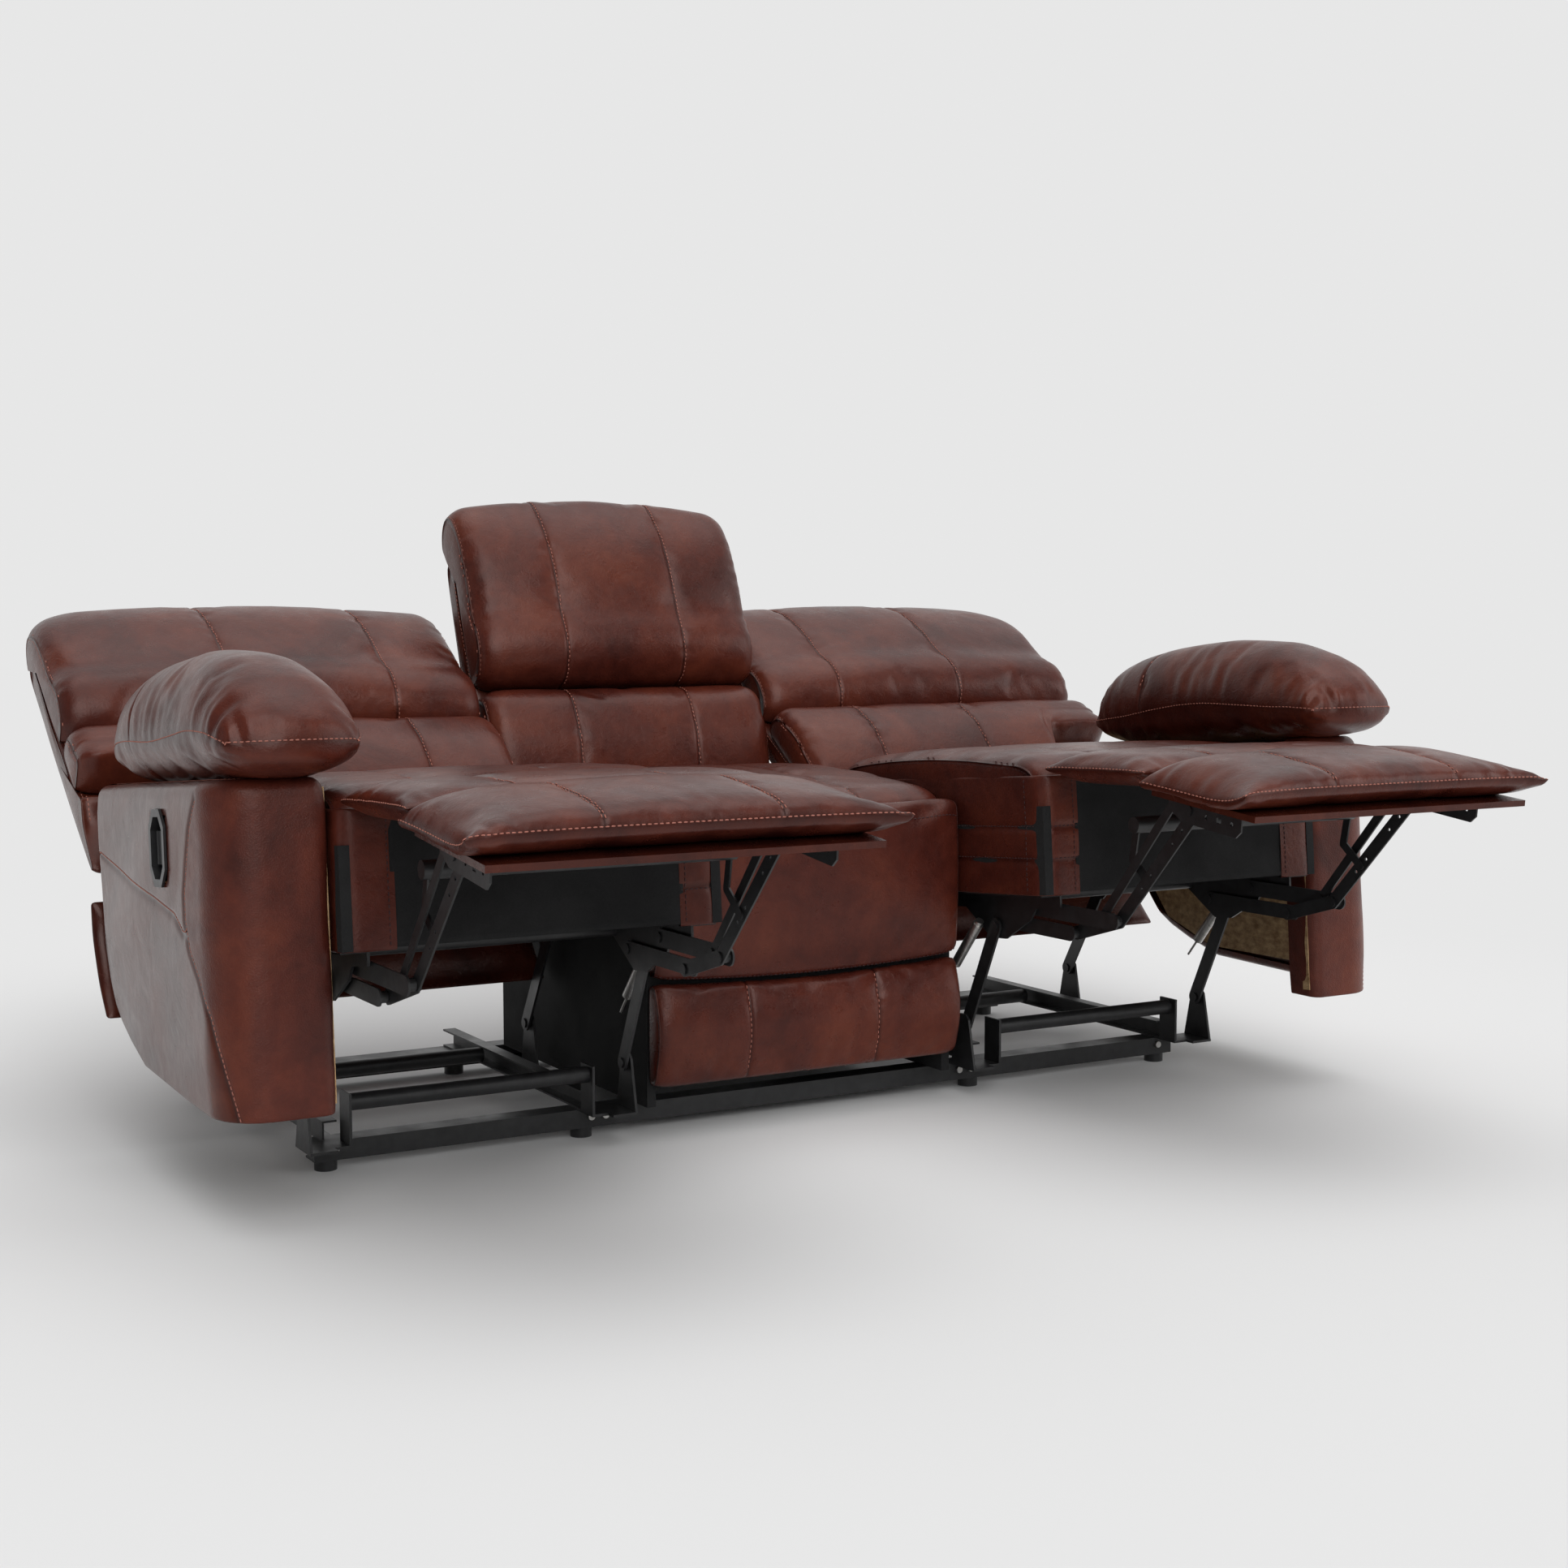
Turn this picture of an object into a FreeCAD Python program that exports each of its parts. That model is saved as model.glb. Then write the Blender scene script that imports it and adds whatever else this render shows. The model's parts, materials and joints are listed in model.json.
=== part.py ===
"""Three-seat reclining sofa: two outer units that recline and slide forward, and a fixed middle seat.

The origin is the middle of the overall box on the floor. X runs across the sofa, Y runs back from
the seat fronts and Z runs up. Everything is drawn in the pose of both outer units fully reclined
with their footrests out. Each outer unit is first drawn upright, in line with the middle seat, and
then carried to the open pose by the movement of its own linkage.
"""
import FreeCAD, Part
import os
from math import acos, atan2, cos, degrees, hypot, radians, sin, sqrt

# Widths across the sofa
MIDDLE_WIDTH = 556.0
SEAT_WIDTH = 556.0
UNIT_GAP = 6.0
ARM_GAP = 2.0
ARM_WIDTH = 158.0
WING_INSET = 2.0
SEAM_OFFSET = 117.0

# Heights above the floor with every unit upright
FOOT_HEIGHT = 16.0
FOOT_DIAMETER = 33.0
RAIL_HEIGHT = 29.0
BOX_BOTTOM = 300.0
BOX_TOP = 438.0
SEAT_TOP = 528.0
SEAM_TOP = 500.0
ARM_TOP = 530.0
ARM_FRONT_BOTTOM = 89.0
ARM_PAD_TOP = 702.0
ROLL_BOTTOM = 76.0
ROLL_TOP = 239.0

# Depths, from the line of the front feet
SEAT_FRONT = -98.0
SEAT_REAR = 500.0
FOOT_DEPTH = 529.0
RAIL_DEPTH = 40.0
RAIL_LENGTH = 1574.0
RAIL_WALL = 3.0
ARM_FRONT = -84.0
ARM_REAR = 555.0
ARM_CORNER = 70.0
ARM_PAD_FRONT = -147.0
ARM_PAD_REAR = 461.0
ARM_PAD_WIDTH = 214.0

# Backs, drawn on a leaning plane: along it and forward of it
BACK_LEAN = 20.0
BACK_FOOT = (574.0, 388.0)
SHELL_LENGTH = 532.0
SHELL_DEPTH = 40.0
SHELL_WALL = 14.0
CREASE = 268.0
HEAD_RISE = 102.0
HEAD_CROWN = 1.32
LUMBAR_CROWN = 1.10
WING_BOTTOM = 128.0

# Walls and clearances
BOARD = 15.0
PADDING = 14.0
SOFT_GAP = 2.0
PIN_FIT = 0.1
OPEN_GAP = 0.6

# Linkage plates, seen from the front
MECH_INSET = 38.0
PLATE = 4.0
LINK = 3.0
LAYER = 7.0
PIN_RADIUS = 5.0
EYE_RADIUS = 13.0
LONG_LINK_RADIUS = 11.0
CHANNEL_INSET = 38.0
CHANNEL_WIDTH = 22.0
CHANNEL_HEIGHT = 30.0
TUBE_RADIUS = 12.5

# Swing of an outer unit, from open to upright, about the front pivot on the base
FRONT_PIVOT = (-60.0, 120.0)
SWING_LENGTH = 190.0
OPEN_LEAN = 25.0
UPRIGHT_LEAN = 50.0
OPEN_TILT = 4.5
REAR_SWING_TOP = (437.6, 260.7)
BACK_HINGE = (584.0, 371.0)
BACK_RECLINE = 31.5

# Footrest linkage, drawn open with the unit upright
KNEE = (-201.5, 260.5)
KNEE_STEP = (107.0, -22.5)
TOE_PIVOT = (-387.4, 429.5)
LOWER_LINK = 210.0
TOE_PIVOT_FOLDED = (-104.0, 249.0)
GUIDE_CRANK = 36.0
GUIDE_ARM = 43.0
GUIDE_ARM_ANGLE = 17.0
BAR_POINT = (-247.0, 407.0)
BAR_RADIUS = 12.5
BAR_INSET = 18.0
FLAP_HINGE = (-124.0, 478.0)
FLAP_LENGTH = 148.0
FLAP_THICKNESS = 36.0
FLAP_INSET = 6.0
REST_SLOPE = 10.5
REST_FORWARD = 172.0
REST_BEHIND = 52.0
REST_OVERHANG = 2.0
REST_PAD_DEPTH = 44.0
BRACKET_FRONT = 112.0
BRACKET_DEPTH = 44.0

# Release handle in the outer side of each arm
HANDLE_POINT = (176.0, 440.0)
HANDLE_WIDTH = 66.0
HANDLE_HEIGHT = 92.0
HANDLE_DEPTH = 34.0
HANDLE_RIM = 7.0
HANDLE_WALL = 2.5

# Springs on the side plates
SPRING_TOP = (113.5, 246.0)
SPRING_END = (183.0, 176.5)
SPRING_RADIUS = 8.5
SPRING_OFFSET = 20.0

SEAT_HALF = SEAT_WIDTH / 2
MIDDLE_HALF = MIDDLE_WIDTH / 2
SEAT_CENTRE = MIDDLE_HALF + UNIT_GAP + SEAT_HALF
ARM_INNER = SEAT_HALF + ARM_GAP
ARM_OUTER = ARM_INNER + ARM_WIDTH
WING_OUTER = ARM_OUTER - WING_INSET
RAIL_TOP = FOOT_HEIGHT + RAIL_HEIGHT
HEAD_TOP = SHELL_LENGTH + HEAD_RISE

# Distances of the linkage from the centre of a seat
MECH_HALF = SEAT_HALF - MECH_INSET
CHANNEL_X = MECH_HALF - CHANNEL_INSET
BAR_HALF = MECH_HALF - BAR_INSET
SPRING_X = MECH_HALF + SPRING_OFFSET
FLAP_HALF = SEAT_HALF - FLAP_INSET
REST_HALF = SEAT_HALF + REST_OVERHANG


def vec(x, y, z):
    """A point or direction as a vector."""
    return FreeCAD.Vector(x, y, z)


def turned(point, centre, angle):
    """A (y, z) point turned about a centre, positive from Y towards Z."""
    c, s = cos(radians(angle)), sin(radians(angle))
    dy, dz = point[0] - centre[0], point[1] - centre[1]
    return (centre[0] + dy * c - dz * s, centre[1] + dy * s + dz * c)


def moved(point, step):
    """A (y, z) point shifted by a step."""
    return (point[0] + step[0], point[1] + step[1])


def polar(centre, length, angle):
    """The (y, z) point at a length and angle from a centre."""
    return (centre[0] + length * cos(radians(angle)), centre[1] + length * sin(radians(angle)))


def angle_of(start, end):
    """Direction from one (y, z) point to another, in degrees."""
    return degrees(atan2(end[1] - start[1], end[0] - start[0]))


def span(start, end):
    """Distance between two (y, z) points."""
    return hypot(end[0] - start[0], end[1] - start[1])


# Where the swing linkage puts the upright unit, and where it carries it to
SWING_UPRIGHT = polar(FRONT_PIVOT, SWING_LENGTH, 90 - UPRIGHT_LEAN)
SWING_OPEN = polar(FRONT_PIVOT, SWING_LENGTH, 90 + OPEN_LEAN)
SWING_STEP = (SWING_OPEN[0] - SWING_UPRIGHT[0], SWING_OPEN[1] - SWING_UPRIGHT[1])


def opened(point):
    """A (y, z) point of the upright unit, carried to the open pose."""
    return moved(turned(point, SWING_UPRIGHT, -OPEN_TILT), SWING_STEP)


def rear_pivot():
    """Base pivot of the rear swing link, level with both ends of its top pivot's travel."""
    start, end = opened(REAR_SWING_TOP), REAR_SWING_TOP
    half = span(start, end) / 2
    middle = ((start[0] + end[0]) / 2, (start[1] + end[1]) / 2)
    drop = sqrt(SWING_LENGTH ** 2 - half ** 2)
    return polar(middle, drop, angle_of(start, end) - 90)


def lower_link_angle():
    """Direction from the knee to the lower link's root that lets the footrest fold where it should."""
    chord = span(TOE_PIVOT, TOE_PIVOT_FOLDED)
    half_turn = degrees(acos(sqrt(1 - (chord / 2 / LOWER_LINK) ** 2)))
    return angle_of(TOE_PIVOT, TOE_PIVOT_FOLDED) + 90 - half_turn


REAR_PIVOT = rear_pivot()
LINK_ANGLE = lower_link_angle()
LINK_ROOT = polar(KNEE, LOWER_LINK, LINK_ANGLE)
LINK_ROOT_REAR = moved(LINK_ROOT, KNEE_STEP)
KNEE_REAR = moved(KNEE, KNEE_STEP)
GUIDE_FOOT = polar(KNEE, GUIDE_CRANK, LINK_ANGLE)
GUIDE_TOP = polar(TOE_PIVOT, GUIDE_ARM, GUIDE_ARM_ANGLE)



def block(x0, x1, y0, y1, z0, z1):
    """A box between two corners."""
    return Part.makeBox(x1 - x0, y1 - y0, z1 - z0, vec(x0, y0, z0))


def rod(point, radius, x0, x1):
    """A cylinder along X at a (y, z) point."""
    return Part.makeCylinder(radius, x1 - x0, vec(x0, point[0], point[1]), vec(1, 0, 0))


def bar_between(start, end, radius, x):
    """A round bar between two (y, z) points in the plane at x."""
    axis = vec(0, end[0] - start[0], end[1] - start[1])
    return Part.makeCylinder(radius, axis.Length, vec(x, start[0], start[1]), axis)


def joined(shapes):
    """Several touching solids as one."""
    result = shapes[0]
    for shape in shapes[1:]:
        result = result.fuse(shape)
    return result.removeSplitter()


def outline(points, place):
    """Closed wire through points (a, b, bulge), where bulge bows the edge to the next point.

    A bulge is the rise of the arc over half its chord, to the right of the direction of travel,
    and place turns (a, b) into a vector.
    """
    edges = []
    for i, (a, b, bulge) in enumerate(points):
        c, d = points[(i + 1) % len(points)][:2]
        start, end = place(a, b), place(c, d)
        if bulge:
            middle = place((a + c) / 2 + bulge * (d - b) / 2, (b + d) / 2 - bulge * (c - a) / 2)
            edges.append(Part.Arc(start, middle, end).toShape())
        else:
            edges.append(Part.LineSegment(start, end).toShape())
    return Part.Wire(edges)


def side_wire(points, x):
    """Outline of (y, z, bulge) points in the plane at x."""
    return outline(points, lambda a, b: vec(x, a, b))


def side_prism(points, x0, x1):
    """Outline of (y, z, bulge) points drawn out along X."""
    return Part.Face(side_wire(points, x0)).extrude(vec(x1 - x0, 0, 0))


def plan_prism(points, z0, z1):
    """Outline of (x, y, bulge) points drawn out along Z."""
    wire = outline(points, lambda a, b: vec(a, b, z0))
    return Part.Face(wire).extrude(vec(0, 0, z1 - z0))


def plain(points):
    """(y, z) points joined by straight lines."""
    return [(y, z, 0) for y, z in points]


def lofted(wires):
    """Solid through a row of outlines."""
    return Part.makeLoft(wires, True, True)


def strap(points, radius, x0, x1):
    """Flat link with round ends and knees through (y, z) points."""
    pieces = [rod(point, radius, x0, x1) for point in points]
    for start, end in zip(points, points[1:]):
        length = span(start, end)
        oy, oz = -(end[1] - start[1]) / length * radius, (end[0] - start[0]) / length * radius
        corners = [(start[0] + oy, start[1] + oz), (end[0] + oy, end[1] + oz),
                   (end[0] - oy, end[1] - oz), (start[0] - oy, start[1] - oz)]
        pieces.append(side_prism(plain(corners), x0, x1))
    return joined(pieces)


def pin(point, near, far, cover):
    """Pin from the plate face at near through a link that ends at far, with a collar and a head.

    cover is the face of the link that looks at the plate.
    """
    side = 1 if far > near else -1
    head = far + side * (OPEN_GAP + 2)
    pieces = [rod(point, PIN_RADIUS, min(near, head), max(near, head))]
    pieces.append(rod(point, PIN_RADIUS + 3, *sorted((near, cover - side * OPEN_GAP))))
    pieces.append(rod(point, PIN_RADIUS + 3, *sorted((far + side * OPEN_GAP, head))))
    return joined(pieces)


def eye(point, x0, x1):
    """Hole for a pin, a little wider than the pin."""
    return rod(point, PIN_RADIUS + PIN_FIT, x0 - 1, x1 + 1)


def layer(number):
    """Inner and outer face of a link layer, counted inward from the side plate."""
    outer = MECH_HALF - number * LAYER
    return outer - LINK, outer


def both(shape):
    """A shape and its mirror image across the centre of the seat."""
    return [shape, shape.mirror(vec(0, 0, 0), vec(1, 0, 0))]


PLATE_INNER = MECH_HALF - PLATE
SWING_X = (MECH_HALF + LINK, MECH_HALF + LINK + PLATE)
BASE_X = (SWING_X[1] + LINK, SWING_X[1] + LINK + PLATE)


def back_point(along, forward):
    """(y, z) of a point of the leaning back, along it and forward of its rear face."""
    lean = radians(BACK_LEAN)
    return (BACK_FOOT[0] + along * sin(lean) - forward * cos(lean),
            BACK_FOOT[1] + along * cos(lean) + forward * sin(lean))


def back_wire(points, x):
    """Outline of (forward, along, bulge) points of the back in the plane at x."""
    return outline(points, lambda w, u: vec(x, *back_point(u, w)))


def stations(x0, x1, seams, edge=16.0, draw=14.0):
    """Rows (x, fullness, inset, crown) across a pad, low at its ends and at its sewn seams."""
    middle, half = (x0 + x1) / 2, (x1 - x0) / 2
    rows = [(x0, 0.72, draw), (x0 + edge / 2, 0.9, draw / 3), (x0 + edge * 2, 1.0, 0.0)]
    for seam in seams:
        rows += [(seam - 14, 1.0, 0.0), (seam, 0.93, 1.5), (seam + 14, 1.0, 0.0)]
    rows += [(x1 - edge * 2, 1.0, 0.0), (x1 - edge / 2, 0.9, draw / 3), (x1, 0.72, draw)]
    return [(x, full, inset, 1 - ((x - middle) / half) ** 2) for x, full, inset in rows]


def head_pad(x0, x1, seams):
    """Headrest cushion that rolls over the top of the back."""
    front = SHELL_DEPTH + 1
    wires = []
    for x, full, inset, crown in stations(x0, x1, seams):
        swell = full * (1 + (HEAD_CROWN - 1) * crown)
        top = HEAD_TOP - inset + 8 * crown
        points = [
            (front, CREASE + 2 + inset, 0),
            (front + 42 * swell, CREASE + 2 + inset, 0.35),
            (front + 64 * swell, CREASE + 132, 0.06),
            (front + 61 * swell, HEAD_TOP - 124, 0.12),
            (front + 40 * full, top - 36, 0.28),
            (front - 10, top, 0.3),
            (-10 + inset / 2, top - 40, 0.2),
            (-6 + inset / 2, SHELL_LENGTH + 8 + inset / 2, 0.1),
            (front, SHELL_LENGTH + 4, 0),
        ]
        wires.append(back_wire(points, x))
    return lofted(wires)


def lumbar_pad(x0, x1, seams, bottom):
    """Lower cushion of a back, from behind the seat up to the crease."""
    front = SHELL_DEPTH + 1
    deep = 32 + (bottom - 30) * 0.4
    wires = []
    for x, full, inset, crown in stations(x0, x1, seams):
        swell = full * (1 + (LUMBAR_CROWN - 1) * crown)
        points = [
            (front, bottom + inset, 0),
            (front + deep * full, bottom + 4 + inset, 0.1),
            (front + 72 * swell, bottom + (CREASE - bottom) * 0.42, 0.12),
            (front + 70 * swell, CREASE - 56, 0.3),
            (front + 42 * full, CREASE - 4 - inset, 0.1),
            (front, CREASE - 3 - inset, 0),
        ]
        wires.append(back_wire(points, x))
    return lofted(wires)


def back_tray(x0, x1):
    """Upholstered rear panel of a back with side, top and bottom walls."""
    corners = [back_point(0, 0), back_point(0, SHELL_DEPTH),
               back_point(SHELL_LENGTH, SHELL_DEPTH), back_point(SHELL_LENGTH, 0)]
    pocket = [back_point(SHELL_WALL, SHELL_WALL), back_point(SHELL_WALL, SHELL_DEPTH + 1),
              back_point(SHELL_LENGTH - SHELL_WALL, SHELL_DEPTH + 1),
              back_point(SHELL_LENGTH - SHELL_WALL, SHELL_WALL)]
    tray = side_prism(plain(corners), x0, x1)
    return tray.cut(side_prism(plain(pocket), x0 + SHELL_WALL, x1 - SHELL_WALL))


def back_rails(x0, x1, half):
    """Two uprights and three rails inside the back."""
    low, high = SHELL_WALL + 4, SHELL_LENGTH - SHELL_WALL - 6
    rear, front = SHELL_WALL + 2, SHELL_DEPTH - 3

    def piece(u0, u1, a, b):
        corners = [back_point(u0, rear), back_point(u0, front), back_point(u1, front),
                   back_point(u1, rear)]
        return side_prism(plain(corners), a, b)

    pieces = [piece(low, high, side - TUBE_RADIUS, side + TUBE_RADIUS) for side in (-half, half)]
    for along in (low, CREASE - TUBE_RADIUS, high - 2 * TUBE_RADIUS):
        pieces.append(piece(along, along + 2 * TUBE_RADIUS, x0 + SHELL_WALL + 2, x1 - SHELL_WALL - 2))
    return joined(pieces)


def seat_pad(x0, x1, front, seams):
    """Seat cushion with a crown, drawn-in ends and a rounded front edge."""
    wires = []
    low = BOX_TOP + SOFT_GAP
    for x, full, inset, crown in stations(x0, x1, seams):
        top = SEAT_TOP - 12 * (1 - full) * 4 + 4 * crown
        points = [
            (front + 6 + inset, low, 0),
            (SEAT_REAR - 4 - inset / 2, low, 0),
            (SEAT_REAR - 4 - inset / 2, top - 20, 0.3),
            (SEAT_REAR - 24, top - 4, 0.04),
            (front + 90, top - 8, 0.12),
            (front + 12 + inset, SEAM_TOP - 14 * (1 - full) * 3, 0.2),
        ]
        wires.append(side_wire(points, x))
    return lofted(wires)


def front_pad(x0, x1, bottom, top, bulge, depth, seams):
    """Upright padded panel that faces forward and bows out between its seams."""
    rear = SEAT_FRONT + depth
    wires = []
    for x, full, inset, crown in stations(x0, x1, seams, draw=8.0):
        swell = (full - 0.72) / 0.28
        low, high = bottom + inset / 2, top - inset / 2
        face = SEAT_FRONT + 8 - 6 * swell
        points = [
            (rear, low, 0),
            (rear, high, 0),
            (face + 8, high, 0.3),
            (face, high - (high - low) * 0.1, bulge),
            (face, low + (high - low) * 0.1, 0.3),
            (face + 8, low, 0),
        ]
        wires.append(side_wire(points, x))
    return lofted(wires)


def rest_point(forward, up):
    """(y, z) on the open footrest, forward of its pivot and square to its board."""
    slope = radians(REST_SLOPE)
    return (TOE_PIVOT[0] - forward * cos(slope) - up * sin(slope),
            TOE_PIVOT[1] - forward * sin(slope) + up * cos(slope))


BOARD_BOTTOM = 15.0
BOARD_TOP = BOARD_BOTTOM + 9.0


def rest_pad():
    """Footrest cushion with pointed front corners and two sewn seams."""
    wires = []
    lift = BOARD_TOP + 1
    for x, full, inset, crown in stations(-REST_HALF, REST_HALF, (-SEAM_OFFSET, SEAM_OFFSET)):
        thick = REST_PAD_DEPTH * full - 10 * (1 - crown)
        toe = REST_FORWARD + 12 - inset / 2
        points = [
            (-REST_BEHIND + inset / 3, lift, 0),
            (-REST_BEHIND + inset / 3, lift + thick * 0.45, -0.3),
            (-REST_BEHIND + 34, lift + thick * 0.9, -0.05),
            (REST_FORWARD - 80, lift + thick, -0.12),
            (toe, lift + thick * 0.72, -0.5),
            (toe - 4, lift, 0),
        ]
        wires.append(outline(points, lambda f, u: vec(x, *rest_point(f, u))))
    return lofted(wires)


def rest_board():
    """Board that the footrest cushion is stapled to."""
    corners = [rest_point(-REST_BEHIND + 4, BOARD_BOTTOM), rest_point(REST_FORWARD, BOARD_BOTTOM),
               rest_point(REST_FORWARD, BOARD_TOP), rest_point(-REST_BEHIND + 4, BOARD_TOP)]
    return side_prism(plain(corners), -REST_HALF + 16, REST_HALF - 16)


def rest_bracket():
    """Angle bracket under the footrest board, with its row of holes and its two pivots."""
    inner, outer = layer(1)
    low = -BRACKET_DEPTH + BOARD_BOTTOM
    web = [rest_point(-46, BOARD_BOTTOM), rest_point(-46, -4), rest_point(-14, low + 10),
           rest_point(BRACKET_FRONT - 10, low + 8), rest_point(BRACKET_FRONT, low + 18),
           rest_point(BRACKET_FRONT, BOARD_BOTTOM)]
    shape = side_prism(plain(web), inner, outer)
    flange = [rest_point(-30, BOARD_BOTTOM - LINK), rest_point(BRACKET_FRONT, BOARD_BOTTOM - LINK),
              rest_point(BRACKET_FRONT, BOARD_BOTTOM), rest_point(-30, BOARD_BOTTOM)]
    shape = shape.fuse(side_prism(plain(flange), outer - 28, outer))
    for forward in (38, 92):
        shape = shape.cut(rod(rest_point(forward, -3), 3.2, inner - 1, outer + 1))
    square = [rest_point(60, -7), rest_point(70, -7), rest_point(70, 1), rest_point(60, 1)]
    shape = shape.cut(side_prism(plain(square), inner - 1, outer + 1))
    shape = shape.cut(eye(TOE_PIVOT, inner, outer))
    stub = rod(GUIDE_TOP, PIN_RADIUS, layer(2)[1] + OPEN_GAP, inner)
    return joined([shape, stub])


def flap():
    """Padded flap between seat and footrest, hinged at the front of the seat."""
    half = FLAP_THICKNESS / 2
    y, z = FLAP_HINGE
    wires = []
    for x, full, inset, crown in stations(-FLAP_HALF, FLAP_HALF, (-SEAM_OFFSET, SEAM_OFFSET)):
        thick = half * (0.4 + 0.6 * full)
        points = [
            (y, z - thick, 0.62),
            (y + thick * 0.98, z, 0.62),
            (y, z + thick, 0),
            (y - FLAP_LENGTH + thick, z + thick - 3, 0.4),
            (y - FLAP_LENGTH + inset / 2, z - 2, 0.4),
            (y - FLAP_LENGTH + thick, z - thick + 2, 0),
        ]
        wires.append(side_wire(points, x))
    return lofted(wires)


def lower_front_link():
    """Front lower link, with the pins of the knee and of the guide link."""
    inner, outer = layer(1)
    shape = strap([LINK_ROOT, KNEE], EYE_RADIUS, inner, outer).cut(eye(LINK_ROOT, inner, outer))
    knee = pin(KNEE, inner, layer(3)[0], layer(3)[1])
    guide = pin(GUIDE_FOOT, inner, layer(2)[0], layer(2)[1])
    return joined([shape, knee, guide])


def lower_rear_link():
    """Rear lower link, whose far pin runs in a wider hole of the long link."""
    inner, outer = layer(1)
    shape = strap([LINK_ROOT_REAR, KNEE_REAR], EYE_RADIUS - 1, inner, outer)
    shape = shape.cut(eye(LINK_ROOT_REAR, inner, outer))
    return joined([shape, pin(KNEE_REAR, inner, layer(3)[0], layer(3)[1])])


def long_link():
    """Long link from the knee to the footrest, with a foot to the rear lower link."""
    inner, outer = layer(3)
    shape = strap([TOE_PIVOT, KNEE, KNEE_REAR], LONG_LINK_RADIUS, inner, outer)
    shape = shape.cut(eye(KNEE, inner, outer))
    shape = shape.cut(rod(KNEE_REAR, PIN_RADIUS + 5 * PIN_FIT, inner - 1, outer + 1))
    for share in (0.3, 0.42, 0.7, 0.82):
        spot = (KNEE[0] + (TOE_PIVOT[0] - KNEE[0]) * share, KNEE[1] + (TOE_PIVOT[1] - KNEE[1]) * share)
        shape = shape.cut(rod(spot, 2.6, inner - 1, outer + 1))
    toe = pin(TOE_PIVOT, outer, layer(1)[1], layer(1)[0])
    share = 0.36
    start = (KNEE[0] + (TOE_PIVOT[0] - KNEE[0]) * share, KNEE[1] + (TOE_PIVOT[1] - KNEE[1]) * share)
    bend = (BAR_POINT[0] + 14, start[1] + 34)
    arm = strap([start, bend, BAR_POINT], BAR_RADIUS * 0.55, inner - LINK, inner)
    return joined([shape, toe, arm])


def guide_link():
    """Guide link that turns the footrest, open at its upper pivot."""
    inner, outer = layer(2)
    return strap([GUIDE_FOOT, GUIDE_TOP], 7.5 + PIN_FIT, inner, outer).fuse(
        rod(GUIDE_FOOT, 10.5, inner, outer)).cut(eye(GUIDE_FOOT, inner, outer))


def side_plate():
    """Side plate of the linkage under the seat box, with its pins."""
    low = BOX_BOTTOM - 30
    points = plain([
        (SEAT_FRONT + 16, BOX_BOTTOM), (SEAT_FRONT + 16, low + 8), (LINK_ROOT[0] - 26, low + 4),
        (LINK_ROOT[0] - 10, LINK_ROOT[1] - 22), (SWING_UPRIGHT[0] - 20, SWING_UPRIGHT[1] - 20),
        (SWING_UPRIGHT[0] + 22, SWING_UPRIGHT[1] - 20), (LINK_ROOT_REAR[0] + 60, low),
        (REAR_SWING_TOP[0] - 50, low), (REAR_SWING_TOP[0] - 18, REAR_SWING_TOP[1] - 18),
        (REAR_SWING_TOP[0] + 18, REAR_SWING_TOP[1] - 18), (REAR_SWING_TOP[0] + 50, low),
        (BACK_HINGE[0] - 18, low), (BACK_HINGE[0] + 8, low + 26),
        (BACK_HINGE[0] + 12, BACK_HINGE[1]), (BACK_HINGE[0] - 12, BACK_HINGE[1]),
        (BACK_HINGE[0] - 40, BOX_BOTTOM)])
    pieces = [side_prism(points, PLATE_INNER, MECH_HALF)]
    pieces.append(rod(BACK_HINGE, 12, PLATE_INNER, MECH_HALF))
    pieces.append(block(PLATE_INNER, SEAT_HALF - 2, SEAT_FRONT + 16, SEAT_REAR,
                        BOX_BOTTOM - PLATE, BOX_BOTTOM))
    for root in (LINK_ROOT, LINK_ROOT_REAR):
        pieces.append(pin(root, PLATE_INNER, *layer(1)))
    pieces.append(pin(SWING_UPRIGHT, MECH_HALF, SWING_X[1], SWING_X[0]))
    pieces.append(rod(REAR_SWING_TOP, PIN_RADIUS, MECH_HALF, SWING_X[0] - OPEN_GAP))
    pieces.append(pin(BACK_HINGE, PLATE_INNER, *layer(1)))
    return joined(pieces)


def mech_frame():
    """Both side plates of one seat with the two tubes that join them."""
    pieces = both(side_plate())
    front = (LINK_ROOT_REAR[0] + 55, BOX_BOTTOM - 18)
    rear = (BACK_HINGE[0] - 60, BOX_BOTTOM - 16)
    for point in (front, rear):
        pieces.append(rod(point, TUBE_RADIUS - 1, -PLATE_INNER, PLATE_INNER))
    return joined(pieces)


def seat_box():
    """Boards under the seat cushion and the cloth that closes their front."""
    inner = SEAT_HALF - BOARD
    sides = both(block(inner, SEAT_HALF, SEAT_FRONT, SEAT_REAR, BOX_BOTTOM, BOX_TOP))
    front = block(-inner, inner, SEAT_FRONT + 2, SEAT_FRONT + 2 + BOARD, BOX_BOTTOM + 6, BOX_TOP)
    rear = block(-inner, inner, SEAT_REAR - BOARD, SEAT_REAR, BOX_BOTTOM, BOX_TOP)
    slats = [block(-inner, inner, y, y + 60, BOX_TOP - BOARD, BOX_TOP) for y in (20, 160, 300)]
    return joined(sides + [front, rear] + slats)


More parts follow.
